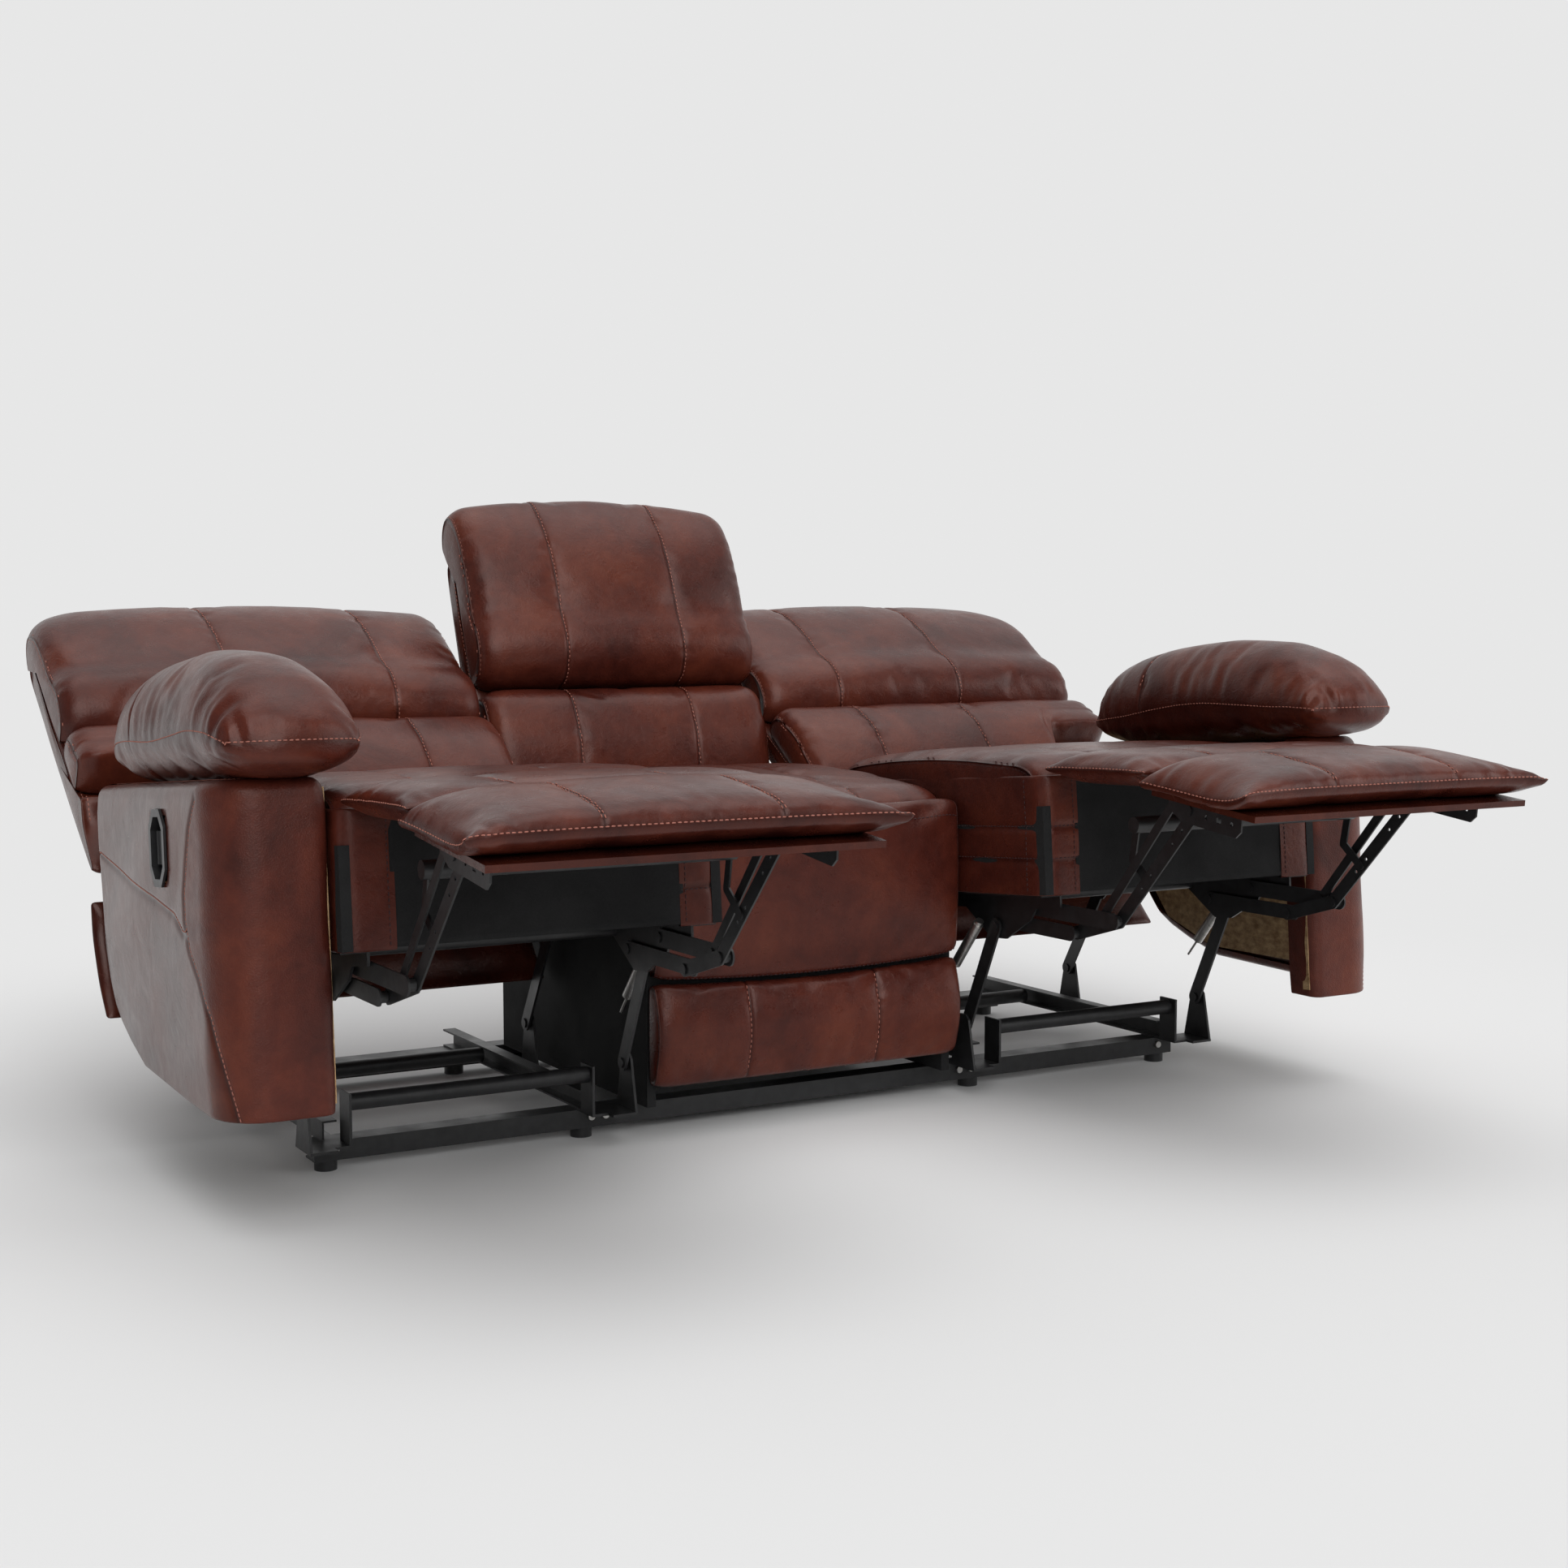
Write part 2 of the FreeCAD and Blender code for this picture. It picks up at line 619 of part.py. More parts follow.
def arm_side():
    """Side view of an arm: upright front, flat top, rounded lower rear corner."""
    return [
        (ARM_FRONT, ARM_FRONT_BOTTOM, 0.02),
        (324.0, 127.0, 0.12),
        (484.0, 198.0, 0.18),
        (ARM_REAR + 3, 425.0, 0.02),
        (ARM_REAR - 5, ARM_TOP, 0),
        (ARM_FRONT + 26, ARM_TOP, 0.4),
        (ARM_FRONT, ARM_TOP - 26, 0),
    ]


def arm_plan(inset):
    """Plan of an arm with a wide rounded front outer corner, drawn in by an inset."""
    radius = ARM_CORNER - inset
    front, outer = ARM_FRONT + inset, ARM_OUTER - inset
    quarter = sqrt(2) - 1
    return [(ARM_INNER, front, 0), (outer - radius, front, quarter),
            (outer, front + radius, 0), (outer, ARM_REAR + 60, 0), (ARM_INNER, ARM_REAR + 60, 0)]


def arm_cover():
    """Padded leather shell of an arm: front, rounded corner, outer side and top."""
    whole = side_prism(arm_side(), ARM_INNER, ARM_OUTER).common(
        plan_prism(arm_plan(0), 0, ARM_TOP + 10))
    hollow = plan_prism(arm_plan(PADDING), 0, ARM_TOP - PADDING)
    shape = whole.cut(hollow)
    y, z = HANDLE_POINT
    slot = block(ARM_OUTER - PADDING - 1, ARM_OUTER + 1, y - HANDLE_WIDTH / 2, y + HANDLE_WIDTH / 2,
                 z - HANDLE_HEIGHT / 2, z + HANDLE_HEIGHT / 2)
    return shape.cut(slot)


def arm_frame():
    """Boards inside an arm."""
    inner, outer = ARM_INNER + 4, ARM_OUTER - PADDING - 1
    top = ARM_TOP - PADDING - 1
    front = ARM_FRONT + PADDING + 1
    side_front = ARM_FRONT + ARM_CORNER
    flat = ARM_OUTER - ARM_CORNER + 7
    boards = [block(inner, flat, front, front + BOARD, ARM_FRONT_BOTTOM + 14, top)]
    boards.append(block(inner, outer, ARM_REAR - 40, ARM_REAR - 40 + BOARD, 262, top))
    boards.append(block(inner, outer - BOARD, side_front, ARM_REAR - 40, top - BOARD, top))
    board = side_prism(plain([(side_front, 124), (320, 148), (440, 198), (ARM_REAR - 40, 300),
                              (ARM_REAR - 40, 380), (side_front, 380)]), outer - BOARD, outer)
    boards.append(board)
    boards.append(block(inner, inner + BOARD, front + BOARD, ARM_REAR - 40, BOX_BOTTOM + 10, BOX_BOTTOM + 70))
    boards.append(block(inner, ARM_OUTER - ARM_CORNER, front + BOARD, side_front, top - BOARD, top))
    return joined(boards)


def arm_pad():
    """Pillow on top of an arm, lower and narrower at the front."""
    middle = (ARM_INNER + ARM_OUTER) / 2 - 9
    base = ARM_TOP + SOFT_GAP + 1
    height = ARM_PAD_TOP - base
    length = ARM_PAD_REAR - ARM_PAD_FRONT
    wires = []
    rows = ((0.0, 0.62, 0.34, 10), (0.03, 0.84, 0.5, 4), (0.12, 0.97, 0.74, 0), (0.32, 1.0, 0.94, 0),
            (0.55, 1.0, 1.0, 0), (0.72, 0.99, 0.97, 0), (0.74, 0.98, 0.95, 0), (0.76, 0.99, 0.97, 0),
            (0.9, 0.95, 0.9, 4), (0.98, 0.84, 0.72, 14), (1.0, 0.62, 0.5, 26))
    for share, wide, tall, lift in rows:
        half = ARM_PAD_WIDTH / 2 * wide
        low, high = base + lift, base + lift + (height - lift) * tall
        waist = low + (high - low) * 0.34
        points = [
            (middle - half * 0.8, low, 0),
            (middle + half * 0.8, low, 0.2),
            (middle + half, waist, 0.28),
            (middle + half * 0.45, high - (high - low) * 0.06, 0.12),
            (middle - half * 0.45, high - (high - low) * 0.06, 0.28),
            (middle - half, waist, 0.2),
        ]
        y = ARM_PAD_FRONT + length * share
        wires.append(outline(points, lambda a, b: vec(a, y, b)))
    return lofted(wires)


def handle_outline(grow):
    """Upright stadium around the handle, grown by a margin."""
    y, z = HANDLE_POINT
    half, tall = HANDLE_WIDTH / 2 + grow, HANDLE_HEIGHT / 2 + grow
    flat = tall - half * 0.6
    return [(y - half, z - flat, 0), (y - half, z + flat, 0), (y - half * 0.45, z + tall, 0),
            (y + half * 0.45, z + tall, 0), (y + half, z + flat, 0), (y + half, z - flat, 0),
            (y + half * 0.45, z - tall, 0), (y - half * 0.45, z - tall, 0)]


def handle_bezel():
    """Recessed cup of the release handle with its raised rim."""
    back = ARM_OUTER - HANDLE_DEPTH
    cup = side_prism(handle_outline(-1), back, ARM_OUTER)
    rim = side_prism(handle_outline(HANDLE_RIM), ARM_OUTER + 0.3, ARM_OUTER + 4)
    neck = side_prism(handle_outline(-1), ARM_OUTER - 1, ARM_OUTER + 1)
    pocket = side_prism(handle_outline(-1 - HANDLE_WALL), back + HANDLE_WALL, ARM_OUTER + 5)
    return joined([cup, neck, rim]).cut(pocket)


def handle_lever():
    """Pull lever, hinged along its rear edge, with a finger grip at its front."""
    y, z = HANDLE_POINT
    rear = y + HANDLE_WIDTH / 2 - 10
    tall = HANDLE_HEIGHT / 2 - 23
    face = ARM_OUTER - 5
    plate = block(face - 4, face, rear - 31, rear, z - tall, z + tall)
    grip = block(face - 11, face, rear - 35, rear - 31, z - tall + 4, z + tall - 4)
    barrel = Part.makeCylinder(4, 2 * tall, vec(face - 2, rear, z - tall))
    return joined([plate, grip, barrel])


def rear_skirt():
    """Upholstered panel that closes the rear of an outer unit below the back."""
    rear = [(BACK_HINGE[0] + 28, 350), (BACK_HINGE[0] + 25, 300), (BACK_HINGE[0] - 8, 226), (532, 179)]
    front = [(y - 10, z) for y, z in rear]
    return side_prism(plain(rear + front[::-1]), -SEAT_HALF + 2, ARM_OUTER - WING_INSET)


def springs():
    """Zinc-plated spring sleeves with their plugs and hooks, on tabs of the side plates."""
    plug = polar(SPRING_TOP, -7, angle_of(SPRING_TOP, SPRING_END))
    hook = polar(SPRING_END, 38, angle_of(SPRING_TOP, SPRING_END))
    one = joined([bar_between(SPRING_TOP, SPRING_END, SPRING_RADIUS, SPRING_X),
                  bar_between(plug, SPRING_TOP, SPRING_RADIUS - 1.5, SPRING_X),
                  bar_between(SPRING_END, hook, 2.0, SPRING_X)])
    return both(one)


def swing_link(foot, top):
    """Flat swing link between a base pivot and a side plate pivot."""
    shape = strap([foot, top], EYE_RADIUS, *SWING_X)
    return shape.cut(eye(foot, *SWING_X)).cut(eye(top, *SWING_X))


def base_bracket(foot):
    """Upright base plate with its foot on the side channel and the pin of a swing link."""
    y, z = foot
    pieces = [side_prism(plain([(y - 34, RAIL_TOP), (y + 34, RAIL_TOP), (y + 16, z + 8), (y + 8, z + 16),
                                (y - 8, z + 16), (y - 16, z + 8)]), *BASE_X)]
    pieces.append(block(CHANNEL_X + CHANNEL_WIDTH / 2, BASE_X[1], y - 34, y + 34, RAIL_TOP, RAIL_TOP + PLATE))
    pieces.append(pin(foot, BASE_X[0], SWING_X[0], SWING_X[1]))
    return joined(pieces)


def side_channel():
    """Base rail under one side of a mechanism, from the front rail to the rear rail."""
    x0, x1 = CHANNEL_X - CHANNEL_WIDTH / 2, CHANNEL_X + CHANNEL_WIDTH / 2
    y0, y1 = -RAIL_DEPTH / 2, FOOT_DEPTH + RAIL_DEPTH / 2
    solid = block(x0, x1, y0, y1, RAIL_TOP, RAIL_TOP + CHANNEL_HEIGHT)
    core = block(x0 - 1, x1 - RAIL_WALL, y0 - 1, y1 + 1, RAIL_TOP + RAIL_WALL,
                 RAIL_TOP + CHANNEL_HEIGHT - RAIL_WALL)
    return solid.cut(core)


def mech_base():
    """Base rails, brackets and cross tubes of one recliner mechanism."""
    tab = block(CHANNEL_X - CHANNEL_WIDTH / 2 - PLATE, CHANNEL_X - CHANNEL_WIDTH / 2,
                -76, -34, RAIL_TOP, 122)
    foot = block(CHANNEL_X - CHANNEL_WIDTH / 2 - PLATE, CHANNEL_X + CHANNEL_WIDTH / 2,
                 -76, -RAIL_DEPTH / 2, RAIL_TOP, RAIL_TOP + PLATE)
    pieces = []
    for part in (side_channel(), base_bracket(FRONT_PIVOT), base_bracket(REAR_PIVOT), tab, foot):
        pieces += both(part)
    inner = CHANNEL_X - CHANNEL_WIDTH / 2
    pieces.append(rod((-55, 107), TUBE_RADIUS, -inner + PLATE, inner - PLATE))
    pieces.append(rod((REAR_PIVOT[0] + 70, RAIL_TOP + CHANNEL_HEIGHT / 2), TUBE_RADIUS, -inner - RAIL_WALL,
                      inner + RAIL_WALL))
    return joined(pieces)


def rail(y, facing):
    """Steel channel across the sofa, open on the side away from facing."""
    half = RAIL_LENGTH / 2
    y0, y1 = y - RAIL_DEPTH / 2, y + RAIL_DEPTH / 2
    shape = block(-half, half, y0, y1, FOOT_HEIGHT, RAIL_TOP)
    shift = RAIL_WALL if facing < 0 else -RAIL_WALL
    core = block(-half - 1, half + 1, y0 + shift, y1 + shift, FOOT_HEIGHT + RAIL_WALL, RAIL_TOP - RAIL_WALL)
    return shape.cut(core)


def feet():
    """Round feet under both rails."""
    shapes = []
    for y in (0, FOOT_DEPTH):
        for x in (SEAT_CENTRE - CHANNEL_X, SEAT_CENTRE + CHANNEL_X):
            for side in (-1, 1):
                shapes.append(Part.makeCylinder(FOOT_DIAMETER / 2, FOOT_HEIGHT, vec(side * x, y, 0)))
    return shapes


def rail_bolts():
    """Pairs of bolt heads on the face of the front rail."""
    shapes = []
    for x in (SEAT_CENTRE - CHANNEL_X - 32, SEAT_CENTRE - CHANNEL_X - 8, SEAT_CENTRE + CHANNEL_X - 8):
        for side in (-1, 1):
            spot = vec(side * x, -RAIL_DEPTH / 2 - 4, RAIL_TOP - 12)
            shapes.append(Part.makeCylinder(5.5, 4, spot, vec(0, 1, 0)))
    return shapes


def middle_box():
    """Boards that carry the fixed middle seat."""
    inner = MIDDLE_HALF - BOARD
    front = SEAT_FRONT + 34
    low = RAIL_TOP + 1
    sides = both(block(inner, MIDDLE_HALF, front, SEAT_REAR, low, BOX_TOP))
    boards = [block(-inner, inner, front, front + BOARD, low + 30, BOX_TOP),
              block(-inner, inner, SEAT_REAR - BOARD, SEAT_REAR, low + 30, BOX_TOP),
              block(-inner, inner, front + BOARD, SEAT_REAR - BOARD, BOX_TOP - BOARD, BOX_TOP)]
    return joined(sides + boards)


def middle_rear():
    """Two posts that carry the middle back."""
    foot = back_point(0, SHELL_DEPTH)
    post = side_prism(plain([(SEAT_REAR, 200), (SEAT_REAR, 340), foot, BACK_FOOT, (SEAT_REAR + 26, 200)]),
                      MECH_HALF - 40, MECH_HALF)
    return both(post)


def outer_back():
    """Shapes of the right outer back, upright, with their node names."""
    x0, x1 = -SEAT_HALF, WING_OUTER
    split = SEAT_HALF - 2
    clear = block(ARM_INNER - 6, WING_OUTER + 5, 0, ARM_REAR + 9, 0, ARM_TOP + 5)
    frame = back_rails(x0, split, MECH_HALF - 8)
    inner, outer = layer(1)
    arm = strap([BACK_HINGE, back_point(40, 26)], EYE_RADIUS, inner, outer).cut(eye(BACK_HINGE, inner, outer))
    tray = back_tray(x0, x1).cut(clear)
    deep = SHELL_DEPTH + 1
    notch = plain([back_point(-1, -1), back_point(-1, deep), back_point(58, deep), back_point(58, 6),
                   back_point(38, 6), back_point(38, -1)])
    for one in both(side_prism(notch, inner - LINK, outer + LINK)):
        tray = tray.cut(one)
    lumbar = [lumbar_pad(x0 + 1, split, (-SEAM_OFFSET, SEAM_OFFSET), 30.0),
              lumbar_pad(ARM_INNER + 4, x1 - 1, (), WING_BOTTOM)]
    return {
        "back_frame": joined([frame] + both(arm)),
        "back_shell": tray,
        "head_pad": head_pad(x0 + 1, x1 - 1, (-SEAM_OFFSET, SEAM_OFFSET + 40)),
        "lumbar_pad": lumbar,
    }


def turn(shape, centre, angle):
    """A shape turned about an X axis through a (y, z) point, positive from Y towards Z."""
    result = shape.copy()
    result.rotate(vec(0, *centre), vec(1, 0, 0), angle)
    return result


def carried(shape):
    """A shape of the upright unit, carried to the open pose."""
    result = turn(shape, SWING_UPRIGHT, -OPEN_TILT)
    result.translate(vec(0, *SWING_STEP))
    return result


def listed(shape):
    """A shape or list of shapes as a list."""
    return shape if isinstance(shape, list) else [shape]


def outer_unit():
    """Right outer unit in the open pose, about the centre of its seat: node name to shapes."""
    nodes = {}
    seams = (-SEAM_OFFSET, SEAM_OFFSET)
    upright = {
        "arm_frame": arm_frame(),
        "arm_cover": arm_cover(),
        "arm_pad": arm_pad(),
        "handle_bezel": handle_bezel(),
        "handle_lever": handle_lever(),
        "seat_box": seat_box(),
        "seat_cushion": seat_pad(-SEAT_HALF + 1, SEAT_HALF - 1, SEAT_FRONT, seams),
        "mech_frame": mech_frame(),
        "rear_skirt": rear_skirt(),
        "springs": springs(),
        "lower_front_links": both(lower_front_link()),
        "lower_rear_links": both(lower_rear_link()),
        "long_links": joined(both(long_link()) + [rod(BAR_POINT, BAR_RADIUS, -BAR_HALF, BAR_HALF)]),
        "guide_links": both(guide_link()),
        "chaise_flap": flap(),
        "footrest_board": rest_board(),
        "footrest_brackets": both(rest_bracket()),
        "footrest_pad": rest_pad(),
    }
    for name, shape in upright.items():
        nodes[name] = [carried(one) for one in listed(shape)]
    for name, shape in outer_back().items():
        nodes[name] = [carried(turn(one, BACK_HINGE, -BACK_RECLINE)) for one in listed(shape)]
    nodes["front_swing_links"] = both(swing_link(FRONT_PIVOT, SWING_OPEN))
    nodes["rear_swing_links"] = both(swing_link(REAR_PIVOT, opened(REAR_SWING_TOP)))
    nodes["mech_base"] = [mech_base()]
    return nodes


def middle_unit():
    """Fixed middle seat and the rails that join the units."""
    x0, x1 = -MIDDLE_HALF + 1, MIDDLE_HALF - 1
    seams = (-SEAM_OFFSET, SEAM_OFFSET)
    return {
        "base_rails": [rail(0, -1), rail(FOOT_DEPTH, 1)],
        "feet": feet(),
        "rail_bolts": rail_bolts(),
        "middle_seat_box": [joined([middle_box()] + middle_rear())],
        "middle_front_panel": [front_pad(x0, x1, ROLL_TOP + 2, SEAM_TOP, 0.03, 32, ())],
        "middle_front_roll": [front_pad(x0 + 2, x1 - 2, ROLL_BOTTOM, ROLL_TOP, 0.18, 32, seams)],
        "middle_seat_cushion": [seat_pad(x0, x1, SEAT_FRONT + 34, seams)],
        "middle_back_shell": [joined([back_tray(x0, x1), back_rails(x0, x1, MECH_HALF - 8)])],
        "middle_head_pad": [head_pad(x0, x1, seams)],
        "middle_lumbar_pad": [lumbar_pad(x0, x1, seams, 30.0)],
    }


def whole_sofa():
    """Every node of the sofa, placed about the middle of its own box."""
    nodes = middle_unit()
    for name, shapes in outer_unit().items():
        right = [one.translated(vec(SEAT_CENTRE, 0, 0)) for one in shapes]
        left = [one.mirror(vec(0, 0, 0), vec(1, 0, 0)) for one in right]
        nodes["right_" + name] = right
        nodes["left_" + name] = left
    return nodes


def centre_shift(nodes):
    """Shift along Y that puts the middle of the sofa's box over the origin."""
    boxes = [one.BoundBox for shapes in nodes.values() for one in shapes]
    return -(min(b.YMin for b in boxes) + max(b.YMax for b in boxes)) / 2


def main():
    """Writes one STEP file per node."""
    os.makedirs("parts", exist_ok=True)
    nodes = whole_sofa()
    shift = centre_shift(nodes)
    print("nodes", len(nodes), "shift", round(shift, 3))
    for name, shapes in sorted(nodes.items()):
        placed = [one.translated(vec(0, shift, 0)) for one in shapes]
        solids = [solid for one in placed for solid in one.Solids]
        shape = solids[0] if len(solids) == 1 else Part.makeCompound(solids)
        good = all(solid.isValid() and solid.Volume > 0 for solid in solids)
        print(name, len(solids), "solids", round(shape.Volume), "mm3", "" if good else "NOT VALID")
        shape.exportStep("parts/" + name + ".step")


if __name__ == "__main__":
    main()
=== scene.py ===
import json
from math import acos, atan2, cos, hypot, pi, radians, sin, sqrt

import bpy
import numpy as np
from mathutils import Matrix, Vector
from mathutils.bvhtree import BVHTree

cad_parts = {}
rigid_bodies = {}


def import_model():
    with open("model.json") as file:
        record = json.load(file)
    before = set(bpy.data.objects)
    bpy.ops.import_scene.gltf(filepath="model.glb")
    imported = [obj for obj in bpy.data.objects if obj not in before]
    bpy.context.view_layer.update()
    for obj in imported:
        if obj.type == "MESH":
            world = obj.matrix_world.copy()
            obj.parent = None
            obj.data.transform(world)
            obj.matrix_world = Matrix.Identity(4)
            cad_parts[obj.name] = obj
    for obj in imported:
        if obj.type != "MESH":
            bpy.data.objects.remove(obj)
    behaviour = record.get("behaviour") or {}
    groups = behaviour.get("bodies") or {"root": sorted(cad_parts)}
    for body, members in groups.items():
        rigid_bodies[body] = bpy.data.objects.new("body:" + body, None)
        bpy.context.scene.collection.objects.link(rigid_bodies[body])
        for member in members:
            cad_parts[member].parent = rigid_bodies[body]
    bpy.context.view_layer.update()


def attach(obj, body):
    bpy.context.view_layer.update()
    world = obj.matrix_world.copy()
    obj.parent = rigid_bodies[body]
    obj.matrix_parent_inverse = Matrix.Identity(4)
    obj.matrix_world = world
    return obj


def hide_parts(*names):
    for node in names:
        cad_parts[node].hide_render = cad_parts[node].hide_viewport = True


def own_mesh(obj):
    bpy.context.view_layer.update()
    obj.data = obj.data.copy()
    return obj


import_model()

SHIFT = -48.715          # the row frame's Y of the line of the front feet, mm

# Sizes shared with the solids, mm
SEAT_HALF = 278.0
SEAT_CENTRE = 562.0
ARM_INNER = 280.0
ARM_OUTER = 438.0
BOX_BOTTOM = 300.0
BOX_TOP = 438.0
SEAT_TOP = 528.0
ARM_TOP = 530.0
SEAT_FRONT = -98.0
SEAT_REAR = 500.0
ARM_FRONT = -84.0
ARM_CORNER = 70.0
ARM_REAR = 555.0
BACK_FOOT = (574.0, 388.0)
BACK_LEAN = 20.0
BACK_HINGE = (584.0, 371.0)
BACK_RECLINE = 31.5
SHELL_LENGTH = 532.0
SHELL_DEPTH = 40.0
CREASE = 268.0
HEAD_TOP = 634.0
FRONT_PIVOT = (-60.0, 120.0)
SWING_LENGTH = 190.0
OPEN_TILT = 4.5
TOE_PIVOT = (-387.4, 429.5)
REST_SLOPE = 10.5
SEAMS = (-117.0, 117.0)
WING_SEAMS = (-117.0, 157.0)
CUSHION_HALF = 276.0
WING_END = 439.0
LUMBAR_BOTTOM = 32.0
HANDLE_POINT = (176.0, 440.0)
ARM_PAD_FRONT = -149.0
ARM_PAD_REAR = 459.0
ARM_PAD_TOP = 698.0
REST_LIFT = 25.0
QUILTING = (352.0, 405.0)
SKIN_TOP = 486.0

scene = bpy.context.scene


# Placing
def rotate(p, centre, angle):
    """(y, z) points turned about a centre, positive from Y towards Z."""
    c, s = cos(radians(angle)), sin(radians(angle))
    d = np.asarray(p, float) - np.asarray(centre)
    turned = np.stack([d[..., 0] * c - d[..., 1] * s, d[..., 0] * s + d[..., 1] * c], -1)
    return turned + np.asarray(centre)


def polar(centre, length, angle):
    return (centre[0] + length * cos(radians(angle)), centre[1] + length * sin(radians(angle)))


UPRIGHT = polar(FRONT_PIVOT, SWING_LENGTH, 40)
OPEN = polar(FRONT_PIVOT, SWING_LENGTH, 115)


def opened(p):
    """(y, z) points of an upright outer unit, carried to the open pose."""
    return rotate(p, UPRIGHT, -OPEN_TILT) + (np.asarray(OPEN) - np.asarray(UPRIGHT))


def placed(v, how, side):
    """Local upright points in mm to the row frame in metres; how is fixed, seat or back."""
    v = np.array(v, float).reshape(-1, 3)
    yz = v[:, 1:]
    if how == "back":
        yz = opened(rotate(yz, BACK_HINGE, -BACK_RECLINE))
    elif how == "seat":
        yz = opened(yz)
    x = v[:, 0]
    if side:
        x = side * (x + SEAT_CENTRE)
    return np.column_stack([x, yz[:, 0] + SHIFT, yz[:, 1]]) * 0.001


def back_yz(w, u):
    """(y, z) of a point forward w and up u on a leaning back."""
    lean = radians(BACK_LEAN)
    y = BACK_FOOT[0] + u * sin(lean) - w * cos(lean)
    z = BACK_FOOT[1] + u * cos(lean) + w * sin(lean)
    return np.stack([y, z], -1)


def rest_yz(f, u):
    """(y, z) of a point forward f and up u on the open footrest."""
    s = radians(REST_SLOPE)
    f, u = np.asarray(f, float), np.asarray(u, float)
    return np.stack([TOE_PIVOT[0] - f * cos(s) - u * sin(s), TOE_PIVOT[1] - f * sin(s) + u * cos(s)], -1)


def wander(p, size, seed, count=10):
    """Smooth seeded noise of about unit height over points, with waves of about the given size."""
    r = np.random.default_rng(seed)
    k = r.normal(size=(count, p.shape[1])) * (2 * pi / size) * 0.6
    ph = r.uniform(0, 2 * pi, count)
    return np.sin(p @ k.T + ph).sum(1) / sqrt(count) * 1.2


# Materials
def new_material(name):
    m = bpy.data.materials.new(name)
    m.use_nodes = True
    t = m.node_tree
    t.nodes.clear()
    out = t.nodes.new("ShaderNodeOutputMaterial")
    bsdf = t.nodes.new("ShaderNodeBsdfPrincipled")
    t.links.new(bsdf.outputs[0], out.inputs[0])
    return m, t, bsdf


def node(t, kind, **values):
    n = t.nodes.new(kind)
    for key, value in values.items():
        if hasattr(n, key):
            setattr(n, key, value)
        else:
            n.inputs[key.replace("_", " ")].default_value = value
    return n


def ramp(t, source, stops):
    n = t.nodes.new("ShaderNodeValToRGB")
    e = n.color_ramp.elements
    while len(e) < len(stops):
        e.new(0.5)
    for slot, (pos, col) in zip(e, stops):
        slot.position = pos
        slot.color = (*col, 1) if len(col) == 3 else col
    t.links.new(source, n.inputs[0])
    return n


def mixed(t, kind, a, b, factor):
    n = t.nodes.new("ShaderNodeMix")
    n.data_type = "RGBA"
    n.blend_type = kind
    for socket, value in ((n.inputs[0], factor), (n.inputs[6], a), (n.inputs[7], b)):
        if isinstance(value, (int, float)):
            socket.default_value = value
        elif isinstance(value, tuple):
            socket.default_value = (*value, 1)
        else:
            t.links.new(value, socket)
    return n.outputs[2]


def bumped(t, height, distance, strength, before=None):
    n = t.nodes.new("ShaderNodeBump")
    n.inputs["Strength"].default_value = strength
    n.inputs["Distance"].default_value = distance
    t.links.new(height, n.inputs["Height"])
    if before is not None:
        t.links.new(before, n.inputs["Normal"])
    return n.outputs[0]


